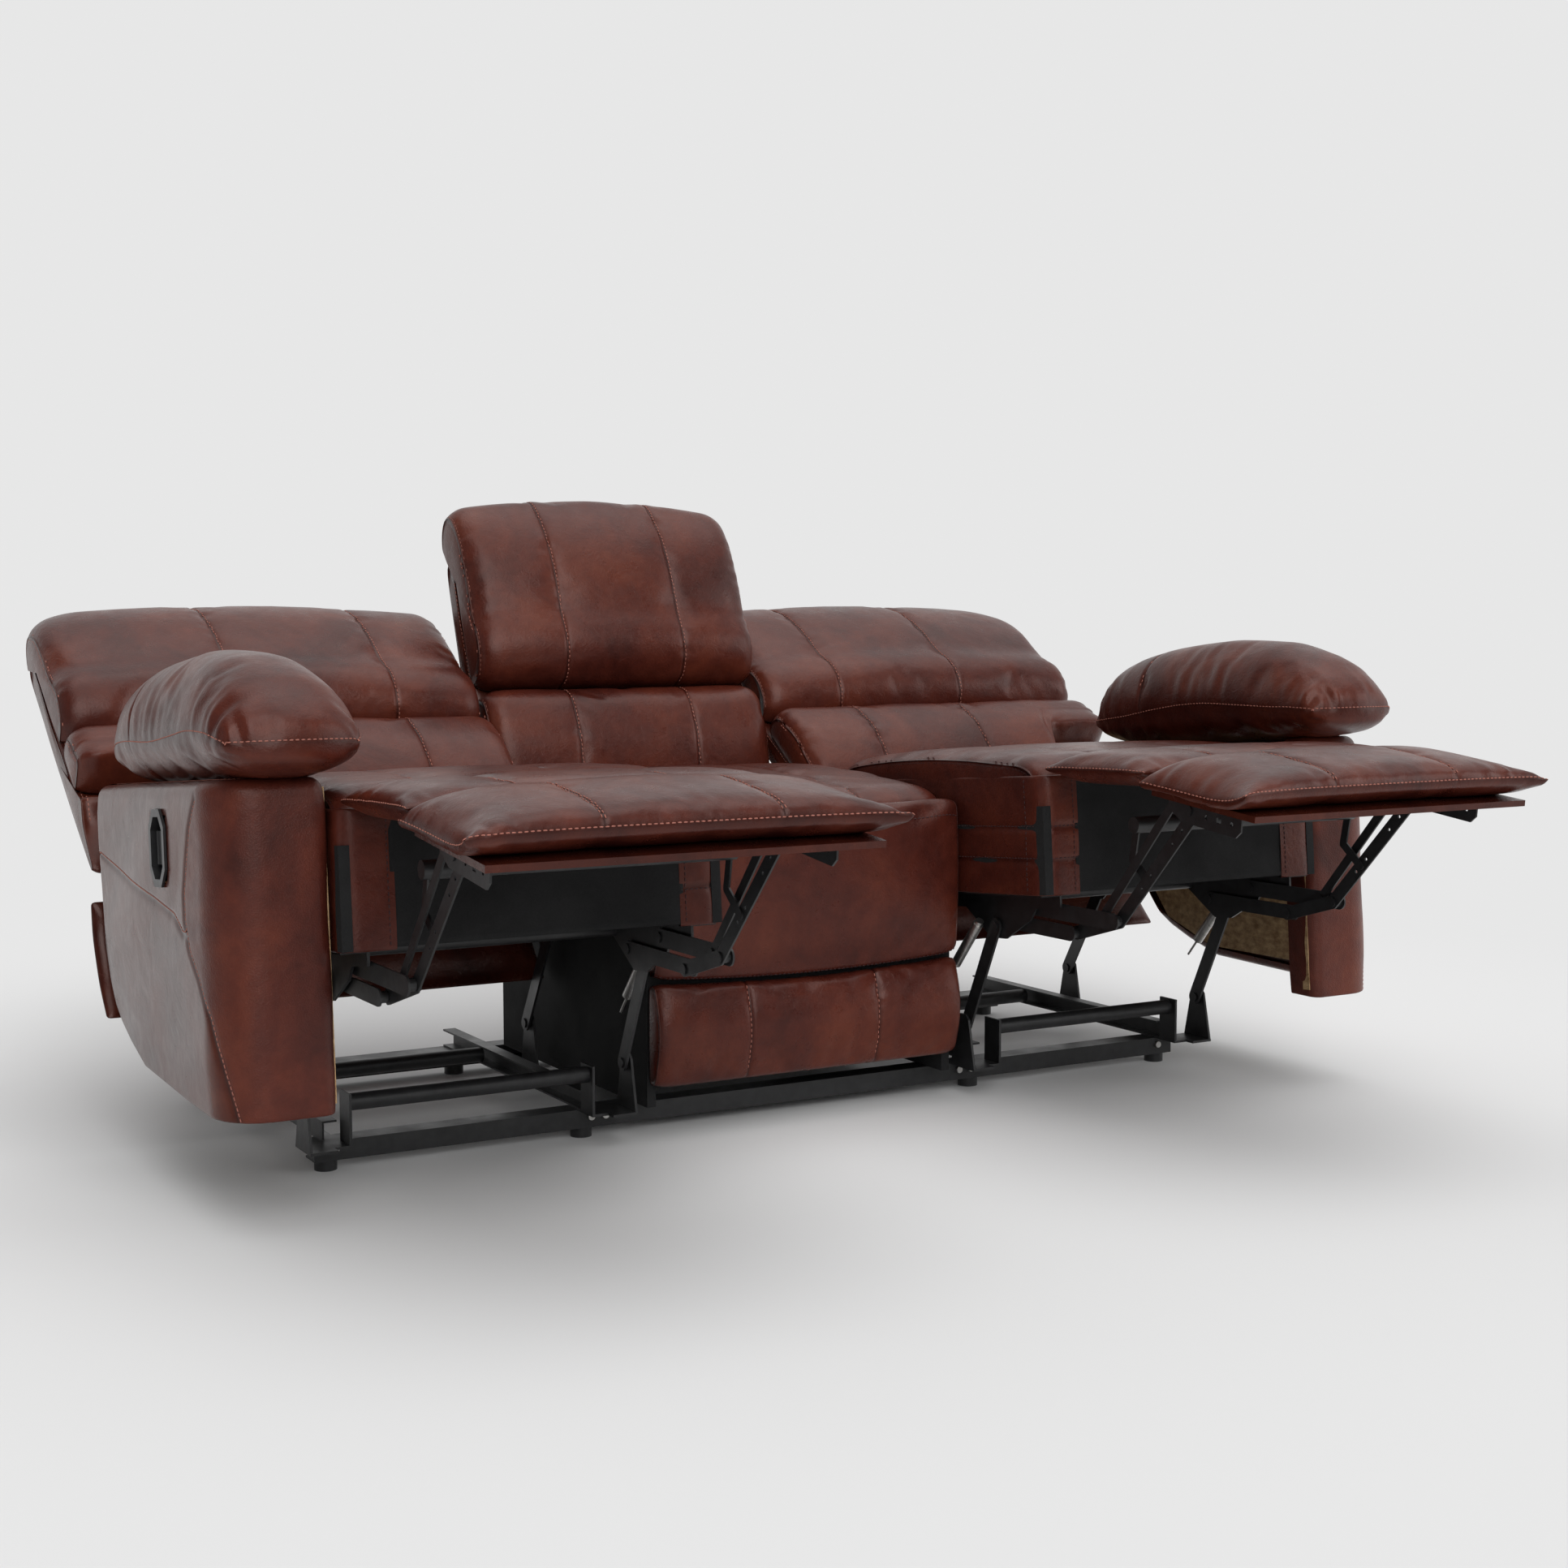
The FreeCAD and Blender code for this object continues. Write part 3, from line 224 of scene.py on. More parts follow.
def leather(name, grain=0.35, pebble=700, rough=(0.25, 0.38), tone=1.0, crumple=0.5):
    """Two-tone leather: mottled colour, pebbled grain and fine creases, darker in its seams by painted
    shade.
    """
    m, t, b = new_material(name)
    co = t.nodes.new("ShaderNodeTexCoord").outputs["Object"]

    def noise(scale, detail=4, rough_=0.55, distort=0.0):
        n = node(t, "ShaderNodeTexNoise", Scale=scale, Detail=detail, Roughness=rough_, Distortion=distort)
        t.links.new(co, n.inputs["Vector"])
        return n.outputs["Fac"]

    def c(r, g, bl):
        return (r * tone, g * tone, bl * tone)

    clouds = ramp(t, noise(6.5, 6, 0.62, 0.5),
                  [(0.3, c(0.040, 0.0085, 0.0062)), (0.47, c(0.074, 0.0150, 0.0092)),
                                                (0.62, c(0.104, 0.0225, 0.0118)),
                                                (0.8, c(0.14, 0.036, 0.018))])
    fine = ramp(t, noise(48, 5, 0.7, 0.3), [(0.3, (0.74, 0.70, 0.72)), (0.62, (1.0, 1.0, 1.0))])
    colour = mixed(t, "MULTIPLY", clouds.outputs[0], fine.outputs[0], 0.75)
    rub = ramp(t, noise(2.3, 3, 0.5), [(0.35, (0.8, 0.76, 0.8)), (0.6, (1.06, 1.05, 1.0))])
    colour = mixed(t, "MULTIPLY", colour, rub.outputs[0], 0.8)
    # Painted shade: the seam attribute darkens the colour in sewn grooves, at sewn ends and along edges.
    seam = node(t, "ShaderNodeAttribute", attribute_name="seam").outputs["Fac"]
    dark = ramp(t, seam, [(0.0, (1, 1, 1)), (0.75, (0.62, 0.55, 0.55)), (1.0, (0.28, 0.24, 0.24))])
    colour = mixed(t, "MULTIPLY", colour, dark.outputs[0], 1.0)
    t.links.new(colour, b.inputs["Base Color"])
    r = ramp(t, noise(34, 4, 0.6), [(0.3, (rough[0],) * 3), (0.7, (rough[1],) * 3)])
    t.links.new(r.outputs[0], b.inputs["Roughness"])
    cells = node(t, "ShaderNodeTexVoronoi", Scale=pebble, feature="F1", Randomness=1.0)
    t.links.new(co, cells.inputs["Vector"])
    normal = bumped(t, noise(17, 4, 0.6, 0.6), 0.006, 0.16)
    creases = node(t, "ShaderNodeTexNoise", Scale=75, Detail=5, Roughness=0.62, Distortion=1.2)
    t.links.new(co, creases.inputs["Vector"])
    normal = bumped(t, creases.outputs["Fac"], 0.0016, crumple, normal)
    normal = bumped(t, cells.outputs["Distance"], 0.0004, grain, normal)
    t.links.new(normal, b.inputs["Normal"])
    b.inputs["Specular IOR Level"].default_value = 0.30
    b.inputs["Specular Tint"].default_value = (1.0, 0.74, 0.68, 1)
    b.inputs["Coat Weight"].default_value = 0.10
    b.inputs["Coat Roughness"].default_value = 0.22
    return m


def plainish(name, light, dark, scale, rough, bump, metallic=0.0, distance=0.0004, stretch=(1, 1, 1)):
    """Mottled paint, plastic, metal, cloth or wood."""
    m, t, b = new_material(name)
    co = t.nodes.new("ShaderNodeTexCoord").outputs["Object"]
    mapping = t.nodes.new("ShaderNodeMapping")
    mapping.inputs["Scale"].default_value = stretch
    t.links.new(co, mapping.inputs["Vector"])
    n = node(t, "ShaderNodeTexNoise", Scale=scale, Detail=5, Roughness=0.6)
    t.links.new(mapping.outputs[0], n.inputs["Vector"])
    col = ramp(t, n.outputs["Fac"], [(0.32, dark), (0.68, light)])
    t.links.new(col.outputs[0], b.inputs["Base Color"])
    worn = node(t, "ShaderNodeTexNoise", Scale=9, Detail=6, Roughness=0.65)
    t.links.new(co, worn.inputs["Vector"])
    r = ramp(t, worn.outputs["Fac"], [(0.35, (rough[0],) * 3), (0.65, (rough[1],) * 3)])
    t.links.new(r.outputs[0], b.inputs["Roughness"])
    peel = node(t, "ShaderNodeTexNoise", Scale=scale * 6, Detail=3, Roughness=0.5)
    t.links.new(mapping.outputs[0], peel.inputs["Vector"])
    t.links.new(bumped(t, peel.outputs["Fac"], distance, bump), b.inputs["Normal"])
    b.inputs["Metallic"].default_value = metallic
    return m


LEATHER = leather("leather_smooth")
PEBBLE = leather("leather_pebbled", grain=0.8, pebble=480, rough=(0.34, 0.46), tone=1.05, crumple=0.35)
GLAZED = leather("leather_glazed", grain=0.15, pebble=820, rough=(0.2, 0.3), tone=0.72, crumple=0.22)
SIDE_LEATHER = leather("leather_side", grain=0.12, pebble=900, rough=(0.2, 0.28), tone=0.8, crumple=0.1)
THREAD = plainish("thread_tan", (0.42, 0.16, 0.115), (0.26, 0.085, 0.06), 900, (0.6, 0.8), 0.3)
THREAD_DARK = plainish("thread_dark", (0.05, 0.012, 0.012), (0.02, 0.006, 0.006), 900, (0.6, 0.8), 0.3)
STEEL = plainish("steel_black", (0.017, 0.017, 0.018), (0.008, 0.008, 0.0085), 60, (0.32, 0.52), 0.12, 0.0)
ZINC = plainish("steel_zinc", (0.66, 0.65, 0.62), (0.42, 0.41, 0.40), 40, (0.28, 0.42), 0.1, 1.0,
                stretch=(1, 8, 1))
BOARD = plainish("board_raw", (0.50, 0.33, 0.17), (0.20, 0.11, 0.045), 55, (0.6, 0.85), 0.5, 0.0, 0.0012,
                 (3, 1, 1.6))
CLOTH = plainish("cloth_black", (0.0075, 0.0075, 0.008), (0.003, 0.003, 0.0033), 420, (0.85, 0.98), 0.6,
                 0.0, 0.0006)
PLASTIC = plainish("plastic_black", (0.014, 0.014, 0.015), (0.009, 0.009, 0.0095), 120, (0.3, 0.42), 0.15)


# Meshes
def mesh_object(name, verts, faces, body, material, smooth=True):
    me = bpy.data.meshes.new(name)
    me.from_pydata([tuple(v) for v in verts], [], [tuple(int(i) for i in f) for f in faces])
    me.update()
    if smooth:
        me.polygons.foreach_set("use_smooth", [True] * len(me.polygons))
    for mat in (material if isinstance(material, list) else [material]):
        me.materials.append(mat)
    ob = bpy.data.objects.new(name, me)
    scene.collection.objects.link(ob)
    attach(ob, body)
    return ob


def outward(ob, inside=None):
    """Turns every face over where the whole faces its inside."""
    me = ob.data
    n = len(me.polygons)
    c, nr, area = np.zeros(n * 3), np.zeros(n * 3), np.zeros(n)
    me.polygons.foreach_get("center", c)
    me.polygons.foreach_get("normal", nr)
    me.polygons.foreach_get("area", area)
    c, nr = c.reshape(-1, 3), nr.reshape(-1, 3)
    inside = c.mean(0) if inside is None else np.asarray(inside)
    if (((c - inside) * nr).sum(1) * area).sum() < 0:
        me.flip_normals()
        me.update()


def quads(rows, cols):
    """Faces of a grid of points stored row by row."""
    return [(r * cols + c, r * cols + c + 1, (r + 1) * cols + c + 1, (r + 1) * cols + c)
            for r in range(rows - 1) for c in range(cols - 1)]


def run_length(p):
    """Distance along a line of points, from its start."""
    return np.r_[0, np.cumsum(np.linalg.norm(np.diff(p, axis=0), axis=1))]


def flipped(faces, side):
    return [tuple(reversed(f)) for f in faces] if side < 0 else faces


def arc_loop(points, counts, closed=True):
    """Points along arcs; each point is (a, b, bulge), and a bulge bows to the right of travel."""
    out = []
    n = len(points)
    for i in range(n if closed else n - 1):
        a, b, k = points[i]
        c, d = points[(i + 1) % n][:2]
        for s in range(counts[i]):
            u = s / counts[i]
            w = 4 * u * (1 - u) * k / 2
            out.append((a + (c - a) * u + w * (d - b), b + (d - b) * u - w * (c - a)))
    if not closed:
        out.append(points[-1][:2])
    return np.array(out)


def relaxed(loop, rounds, keep=()):
    """A closed loop with its corners eased, apart from those kept."""
    loop = loop.copy()
    hold = {k: loop[k].copy() for k in keep}
    for _ in range(rounds):
        loop = loop * 0.5 + (np.roll(loop, 1, 0) + np.roll(loop, -1, 0)) * 0.25
        for k, v in hold.items():
            loop[k] = v
    return loop


def spread(x0, x1, step, seams=(), fine=(4.0, 10.0)):
    """Positions from x0 to x1 about a step apart, closer at the seams and at both ends."""
    marks = [x0, x1] + [s for s in seams]
    marks += [s + d for s in seams for d in (*fine, *(-f for f in fine))]
    marks += [x0 + 4, x0 + 10, x0 + 18, x1 - 4, x1 - 10, x1 - 18]
    marks = sorted(set(round(m, 3) for m in marks if x0 <= m <= x1))
    out = [marks[0]]
    for a, b in zip(marks, marks[1:]):
        n = max(1, int(round((b - a) / step)))
        out += [a + (b - a) * i / n for i in range(1, n + 1)]
    return out


class Pad:
    """A closed form swept across a row of loops, with its sewn lines known by index."""

    def __init__(self, name, xs, loop_at, how, side, body, material, seams=(), sew=None, dome=5.0, caps=5,
                 depth=3.5, pin_cols=(), ends=True):
        self.body = body
        self.xs = xs
        loops = [loop_at(x) for x in xs]
        self.m = len(loops[0])
        self.n = len(xs)
        v = []
        for x, loop in zip(xs, loops):
            for a, b in loop:
                v.append((x, a, b))
        v = np.array(v)
        self.rows = {s: min(range(self.n), key=lambda i: abs(xs[i] - s)) for s in seams}
        self.cols = range(self.m) if sew is None else sew
        grid = v.reshape(self.n, self.m, 3)
        centre = grid.mean(1)
        cap_rows, cap_faces = [], []
        base = self.n * self.m
        faces = []
        for i in range(self.n - 1):
            for j in range(self.m):
                k = (j + 1) % self.m
                faces.append((i * self.m + j, i * self.m + k, (i + 1) * self.m + k, (i + 1) * self.m + j))
        for end, sign in ((0, -1), (self.n - 1, 1)):
            ring = list(range(end * self.m, end * self.m + self.m))
            for c in range(1, caps + 1):
                f = 1 - c / (caps + 0.6)
                pts = centre[end] + (grid[end] - centre[end]) * f
                pts[:, 0] = xs[end] + sign * dome * (1 - f ** 3)
                start = base + len(cap_rows)
                cap_rows.extend(pts)
                new = list(range(start, start + self.m))
                for j in range(self.m):
                    k = (j + 1) % self.m
                    q = (ring[j], new[j], new[k], ring[k])
                    cap_faces.append(q if sign > 0 else tuple(reversed(q)))
                ring = new
            start = base + len(cap_rows)
            cap_rows.append(np.array([xs[end] + sign * dome, *centre[end][1:]]))
            for j in range(self.m):
                k = (j + 1) % self.m
                q = (ring[j], start, ring[k])
                cap_faces.append(q if sign > 0 else tuple(reversed(q)))
        v = np.vstack([v, np.array(cap_rows).reshape(-1, 3)])
        faces += cap_faces
        faces = [tuple(reversed(f)) for f in faces]
        world = placed(v, how, side)
        self.ob = mesh_object(name, world, flipped(faces, side or 1), body, material)
        outward(self.ob)
        self.world = world
        self.pin = np.zeros(len(v))
        # self.seam is painted shade: full in the sewn rows, a little less at the sewn ends.
        self.seam = np.zeros(len(v))
        nr = self.normals()
        for s, i in self.rows.items():
            for j in self.cols:
                self.pin[i * self.m + j] = 1
                self.seam[i * self.m + j] = 1
                self.world[i * self.m + j] -= nr[i * self.m + j] * depth * 0.001
        for i in (0, self.n - 1):
            for j in range(self.m):
                self.pin[i * self.m + j] = 1
                if ends:
                    self.seam[i * self.m + j] = 0.8
        for j in pin_cols:
            for i in range(self.n):
                self.pin[i * self.m + j] = 1
        self.pin[base:] = 1
        self.write()

    def normals(self):
        me = self.ob.data
        out = np.zeros(len(me.vertices) * 3)
        me.vertices.foreach_get("normal", out)
        return out.reshape(-1, 3)

    def write(self):
        self.ob.data.vertices.foreach_set("co", self.world.reshape(-1))
        self.ob.data.update()

    def push(self, amount):
        """Moves every free point along its normal by an amount in mm."""
        self.world += self.normals() * (amount * (1 - self.pin))[:, None] * 0.001
        self.write()

    def pucker(self, height, period, reach, seed):
        """Small folds that run out from the sewn rows, fading with distance."""
        xs = np.array(self.xs)
        n, m = self.n, self.m
        nr = self.normals()
        r = np.random.default_rng(seed)
        for line in list(self.rows.values()) + [0, n - 1]:
            run = run_length(self.world[line * m:(line + 1) * m])
            wave = sum(np.sin(run * 1000 * 2 * pi / (period * q) + r.uniform(0, 6))
                       for q in (1.0, 1.37, 0.71)) / 2.2
            gate = np.clip(np.sin(run * 1000 / 61 + r.uniform(0, 6)) + 0.45, 0, 1)
            for i in range(n):
                d = abs(xs[i] - xs[line])
                if 0 < d < reach * 2.5:
                    f = np.exp(-d / reach) * min(1.0, d / 4.0)
                    sl = slice(i * m, (i + 1) * m)
                    rise = height * 0.001 * f * wave * gate * (1 - self.pin[sl])
                    self.world[sl] += nr[sl] * rise[:, None]
        self.write()


SIMS = []


def queue_sim(pad, pressure, grow, cap):
    SIMS.append((pad, pressure, grow, cap))


def run_sims():
    """Blows every queued pad up as sewn cloth, then applies the result within its cap."""
    if not SIMS:
        return
    for pad, pressure, grow, cap in SIMS:
        ob = pad.ob
        group = ob.vertex_groups.new(name="sewn")
        for i in np.nonzero(pad.pin > 0.5)[0]:
            group.add([int(i)], 1.0, "REPLACE")
        m = ob.modifiers.new("cloth", "CLOTH")
        s = m.settings
        s.quality = 4
        s.mass = 0.25
        s.tension_stiffness = 18
        s.compression_stiffness = 18
        s.shear_stiffness = 8
        s.bending_stiffness = 1.2
        s.air_damping = 2.0
        s.use_pressure = True
        s.uniform_pressure_force = pressure
        s.effector_weights.gravity = 0
        s.shrink_min = -grow
        s.vertex_group_mass = "sewn"
        s.pin_stiffness = 1.0
        m.collision_settings.use_collision = False
        m.point_cache.frame_start = 1
        m.point_cache.frame_end = 20
    for f in range(1, 19):
        scene.frame_set(f)
    graph = bpy.context.evaluated_depsgraph_get()
    for pad, pressure, grow, cap in SIMS:
        ev = pad.ob.evaluated_get(graph)
        me = ev.to_mesh()
        co = np.zeros(len(me.vertices) * 3)
        me.vertices.foreach_get("co", co)
        ev.to_mesh_clear()
        d = co.reshape(-1, 3) - pad.world
        size = np.linalg.norm(d, axis=1, keepdims=True)
        size[~np.isfinite(size)] = 0
        d = np.where(np.isfinite(d), d, 0)
        limit = cap * 0.001
        pad.world = pad.world + d * (limit * np.tanh(size / limit) / np.maximum(size, 1e-9))
    for pad, *_ in SIMS:
        pad.ob.modifiers.remove(pad.ob.modifiers["cloth"])
        pad.ob.vertex_groups.clear()
        pad.write()
    scene.frame_set(1)


def finish_mesh(ob, seam, levels=1):
    """Writes the seam attribute, the painted shade in seams and along edges, and adds the last subdivision.
    """
    at = ob.data.attributes.get("seam") or ob.data.attributes.new("seam", "FLOAT", "POINT")
    at.data.foreach_set("value", np.asarray(seam, np.float32))
    if levels:
        m = ob.modifiers.new("smooth", "SUBSURF")
        m.levels = m.render_levels = levels


def surface_of(ob):
    """The finished surface of an object as a search tree in the row frame."""
    graph = bpy.context.evaluated_depsgraph_get()
    ev = ob.evaluated_get(graph)
    me = ev.to_mesh()
    co = np.zeros(len(me.vertices) * 3)
    me.vertices.foreach_get("co", co)
    polys = [tuple(p.vertices) for p in me.polygons]
    tree = BVHTree.FromPolygons([Vector(c) for c in co.reshape(-1, 3)], polys)
    ev.to_mesh_clear()
    return tree


def resample(line, step):
    line = np.asarray(line, float)
    run = run_length(line)
    n = max(2, int(run[-1] / step))
    at = np.linspace(0, run[-1], n)
    return np.column_stack([np.interp(at, run, line[:, k]) for k in range(3)])


def stitches(name, lines, trees, body, material=None, length=5.2, pitch=7.6, radius=0.85, aside=0.0,
             both=False):
    """Rows of short thread runs laid on a surface along lines, in metres."""
    verts, faces = [], []
    ring = 6
    sections = [(-0.5, 0.45), (-0.3, 1.0), (0.3, 1.0), (0.5, 0.45)]
    for line, tree in zip(lines, trees):
        line = np.asarray(line)
        if len(line) < 2:
            continue
        fine = resample(line, pitch * 0.001)
        for k in range(len(fine) - 1):
            a, b = fine[k], fine[k + 1]
            mid = (a + b) / 2
            along = b - a
            if np.linalg.norm(along) < 1e-9:
                continue
            along = along / np.linalg.norm(along)
            hit = tree.find_nearest(Vector(mid))
            if hit[0] is None:
                continue
            nrm = np.array(hit[1])
            across = np.cross(nrm, along)
            if np.linalg.norm(across) < 1e-6:
                continue
            across /= np.linalg.norm(across)
            for off in ((aside, -aside) if both else (aside,)):
                p = np.array(tree.find_nearest(Vector(mid + across * off * 0.001))[0])
                hit2 = tree.find_nearest(Vector(p))
                nn = np.array(hit2[1])
                if nn @ nrm < 0:
                    nn = -nn
                al = along - nn * (along @ nn)
                al /= np.linalg.norm(al)
                ac = np.cross(nn, al)
                start = len(verts)
                for u, r in sections:
                    c = p + al * length * u * 0.001 + nn * (0.12 if abs(u) > 0.4 else 0.42) * 0.001
                    for q in range(ring):
                        th = 2 * pi * q / ring
                        verts.append(c + (ac * cos(th) + nn * sin(th) * 0.75) * radius * r * 0.001)
                for s in range(len(sections) - 1):
                    for q in range(ring):
                        w = (q + 1) % ring
                        faces.append((start + s * ring + q, start + s * ring + w,
                                      start + (s + 1) * ring + w, start + (s + 1) * ring + q))
                faces.append(tuple(start + q for q in reversed(range(ring))))
                faces.append(tuple(start + (len(sections) - 1) * ring + q for q in range(ring)))
    if not verts:
        return None
    return mesh_object(name, verts, faces, body, material or THREAD)


def row_line(pad, i, cols):
    return np.array([pad.world[i * pad.m + j] for j in cols])


def col_line(pad, j, rows=None):
    rows = range(pad.n) if rows is None else rows
    return np.array([pad.world[i * pad.m + j] for i in rows])


# Back and seat cushions
TRIMS = []               # stitch rows made after every cushion has its final shape


def trim(pad, line, **kw):
    TRIMS.append((pad, line, kw))


def end_state(x, x0, x1, reach=34.0):
    """(fullness, inset, crown) at a place across a pad: low at its sewn ends."""
    d = min(x - x0, x1 - x)
    u = min(max(d / reach, 0.0), 1.0)
    full = 0.70 + 0.30 * sqrt(max(0.0, 1 - (1 - u) ** 2))
    return full, 14.0 * (1 - u) ** 2, 1 - ((x - (x0 + x1) / 2) / ((x1 - x0) / 2)) ** 2


HEAD_COUNTS = [4, 12, 11, 8, 7, 7, 6, 5, 14]


def head_loop(x, x0, x1):
    full, inset, crown = end_state(x, x0, x1)
    swell = full * (1 + 0.32 * crown)
    top = HEAD_TOP - 9 - inset + 25 * crown
    if x1 > 300:
        top -= 34 * max(0.0, 1 - (x1 - x) / 95) ** 2
    f = SHELL_DEPTH + 1
    pts = [
        (f, CREASE + 3 + inset, 0),
        (f + 38 * swell, CREASE + 3 + inset, 0.4),
        (f + 60 * swell, CREASE + 126, 0.07),
        (f + 58 * swell, HEAD_TOP - 128, 0.12),
        (f + 38 * full, top - 38, 0.28),
        (f - 8, top, 0.3),
        (-8 + inset / 2, top - 42, 0.2),
        (-5 + inset / 2, SHELL_LENGTH + 9 + inset / 2, 0.1),
        (f, SHELL_LENGTH + 5, 0),
    ]
    loop = arc_loop(pts, HEAD_COUNTS)
    return back_yz(*relaxed(loop, 5, (0,)).T)


LUMBAR_COUNTS = [6, 9, 9, 10, 6, 12]


def lumbar_loop(x, x0, x1, wing=False):
    full, inset, crown = end_state(x, x0, x1)
    bottom = LUMBAR_BOTTOM
    if wing:
        t = min(max((x - 268) / 26, 0), 1)
        bottom += 112 * t * t * (3 - 2 * t)
    swell = full * (1 + 0.10 * crown)
    deep = 32 + (bottom - 30) * 0.4
    f = SHELL_DEPTH + 1
    c = CREASE
    pts = [
        (f, bottom + inset, 0),
        (f + deep * full, bottom + 3 + inset, 0.1),
        (f + 67 * swell, bottom + (c - bottom) * 0.42, 0.14),
        (f + 66 * swell, c - 58, 0.34),
        (f + 38 * full, c - 4 - inset, 0.1),
        (f, c - 3 - inset, 0),
    ]
    loop = arc_loop(pts, LUMBAR_COUNTS)
    return back_yz(*relaxed(loop, 4, (0,)).T)


SEAT_COUNTS = [16, 4, 3, 22, 10, 5]


def seat_loop(x, x0, x1, front):
    full, inset, crown = end_state(x, x0, x1, 30)
    low = BOX_TOP + 3
    top = SEAT_TOP - 4 - 40 * (1 - full) + 4 * crown
    pts = [
        (front + 8 + inset, low, 0),
        (SEAT_REAR - 6 - inset / 2, low, 0),
        (SEAT_REAR - 6 - inset / 2, top - 22, 0.3),
        (SEAT_REAR - 26, top - 6, 0.05),
        (front + 90, top - 10, 0.16),
        (front + 13 + inset, SEAT_TOP - 32 - 34 * (1 - full), 0.2),
    ]
    return relaxed(arc_loop(pts, SEAT_COUNTS), 3, (0,))


def front_loop(x, x0, x1, low, high, bulge, rear):
    """Upright padded panel facing forward; low and high may bow across its width."""
    full, inset, crown = end_state(x, x0, x1, 26)
    swell = (full - 0.70) / 0.30
    lo, hi = low(crown) + inset / 3, high(crown) - inset / 3
    face = SEAT_FRONT + 9 - 6 * swell
    pts = [
        (rear, hi, 0),
        (face + 10, hi, 0.35),
        (face, hi - 16, bulge),
        (face, lo + 16, 0.35),
        (face + 10, lo, 0),
        (rear, lo, 0),
    ]
    counts = [3, 4, 2 + int((high(0) - low(0)) / 11), 4, 3, 8]
    return relaxed(arc_loop(pts, counts), 2)


def sew_rows(pad, seams, cols, aside=-4.0, both=False, material=None):
    for s in seams:
        i = pad.rows[s]
        trim(pad, ("row", i, cols), aside=aside, both=both, material=material)


def make_backs():
    for side in (0, -1, 1):
        tag = {0: "middle", -1: "left", 1: "right"}[side]
        body = "base" if side == 0 else tag + "_back"
        how = "fixed" if side == 0 else "back"
        x0, x1 = -CUSHION_HALF, CUSHION_HALF if side == 0 else WING_END
        head_seams = SEAMS if side == 0 else WING_SEAMS
        pad = Pad(tag + "_head_cushion", spread(x0, x1, 10, head_seams), lambda x: head_loop(x, x0, x1),
                  how, side, body, LEATHER,
                  seams=head_seams, sew=range(0, 58), pin_cols=list(range(60, 74)) + [0, 1, 2, 3], dome=4)
        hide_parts(tag + "_head_pad")
        pad.pucker(2.6, 24, 15, 30 + side)
        queue_sim(pad, 2.4, 0.012, 5)
        sew_rows(pad, head_seams, range(3, 56))
        for i, aside in ((0, 5.0), (pad.n - 1, -5.0)):
            trim(pad, ("row", i, range(4, 46)), aside=aside)
        low = Pad(tag + "_lumbar_cushion", spread(x0, x1, 10, SEAMS),
                  lambda x: lumbar_loop(x, x0, x1, side != 0), how, side, body,
                  LEATHER, seams=SEAMS, sew=range(4, 42), pin_cols=list(range(40, 52)) + [0, 1, 2, 3],
                  dome=4)
        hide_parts(tag + "_lumbar_pad")
        low.pucker(2.8, 24, 15, 40 + side)
        queue_sim(low, 2.4, 0.014, 5)
        sew_rows(low, SEAMS, range(7, 36))
        for i, aside in ((0, 5.0), (low.n - 1, -5.0)):
            trim(low, ("row", i, range(8, 34)), aside=aside)


def make_seats():
    for side in (0, -1, 1):
        tag = {0: "middle", -1: "left", 1: "right"}[side]
        body = "base" if side == 0 else tag + "_carriage"
        how = "fixed" if side == 0 else "seat"
        front = SEAT_FRONT + (34 if side == 0 else 0)
        x0, x1 = -CUSHION_HALF, CUSHION_HALF
        pad = Pad(tag + "_seat_top", spread(x0, x1, 11, SEAMS), lambda x: seat_loop(x, x0, x1, front),
                  how, side, body, LEATHER,
                  seams=SEAMS, sew=range(20, 58), pin_cols=list(range(0, 18)), dome=3)
        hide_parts(tag + "_seat_cushion")
        pad.pucker(2.4, 26, 16, 50 + side)
        queue_sim(pad, 2.2, 0.01, 4.5)
        sew_rows(pad, SEAMS, range(24, 55))
        for i, aside in ((0, 5.0), (pad.n - 1, -5.0)):
            trim(pad, ("row", i, range(24, 56)), aside=aside, material=THREAD_DARK)
    rear = SEAT_FRONT + 32
    x0, x1 = -275.0, 275.0
    panel = Pad("middle_front_cover", spread(x0, x1, 11),
                lambda x: front_loop(x, x0, x1, lambda c: 245 - 11 * c, lambda c: 499.0, 0.035, rear),
                "fixed", 0, "base", LEATHER, pin_cols=[0, 1] + list(range(33, 44)), dome=3)
    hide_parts("middle_front_panel")
    panel.pucker(1.2, 30, 14, 60)
    queue_sim(panel, 1.6, 0.006, 6)
    roll = Pad("middle_front_bolster", spread(x0, x1, 9, SEAMS),
               lambda x: front_loop(x, x0, x1, lambda c: 78.0, lambda c: 240 - 11 * c, 0.2, rear),
               "fixed", 0, "base", LEATHER, seams=SEAMS, sew=range(2, 27),
               pin_cols=[0, 1] + list(range(25, 36)), dome=3)
    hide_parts("middle_front_roll")
    roll.pucker(2.2, 22, 18, 61)
    queue_sim(roll, 2.0, 0.012, 4.5)
    sew_rows(roll, SEAMS, range(4, 24))
    trim(panel, ("col", panel.m - 9 - 3, None), aside=0, material=THREAD_DARK)
    trim(panel, ("col", 8, None), aside=0, material=THREAD_DARK)
    for i, aside in ((0, 6.0), (panel.n - 1, -6.0)):
        trim(panel, ("row", i, range(4, 30)), aside=aside, material=THREAD_DARK)


# Pillows: arm pads, footrests and flaps
def edge_spaced(n):
    """n + 1 places from -1 to 1, closer together near both ends."""
    t = np.linspace(-1, 1, n + 1)
    return np.sin(t * pi / 2) * 0.55 + t * 0.45


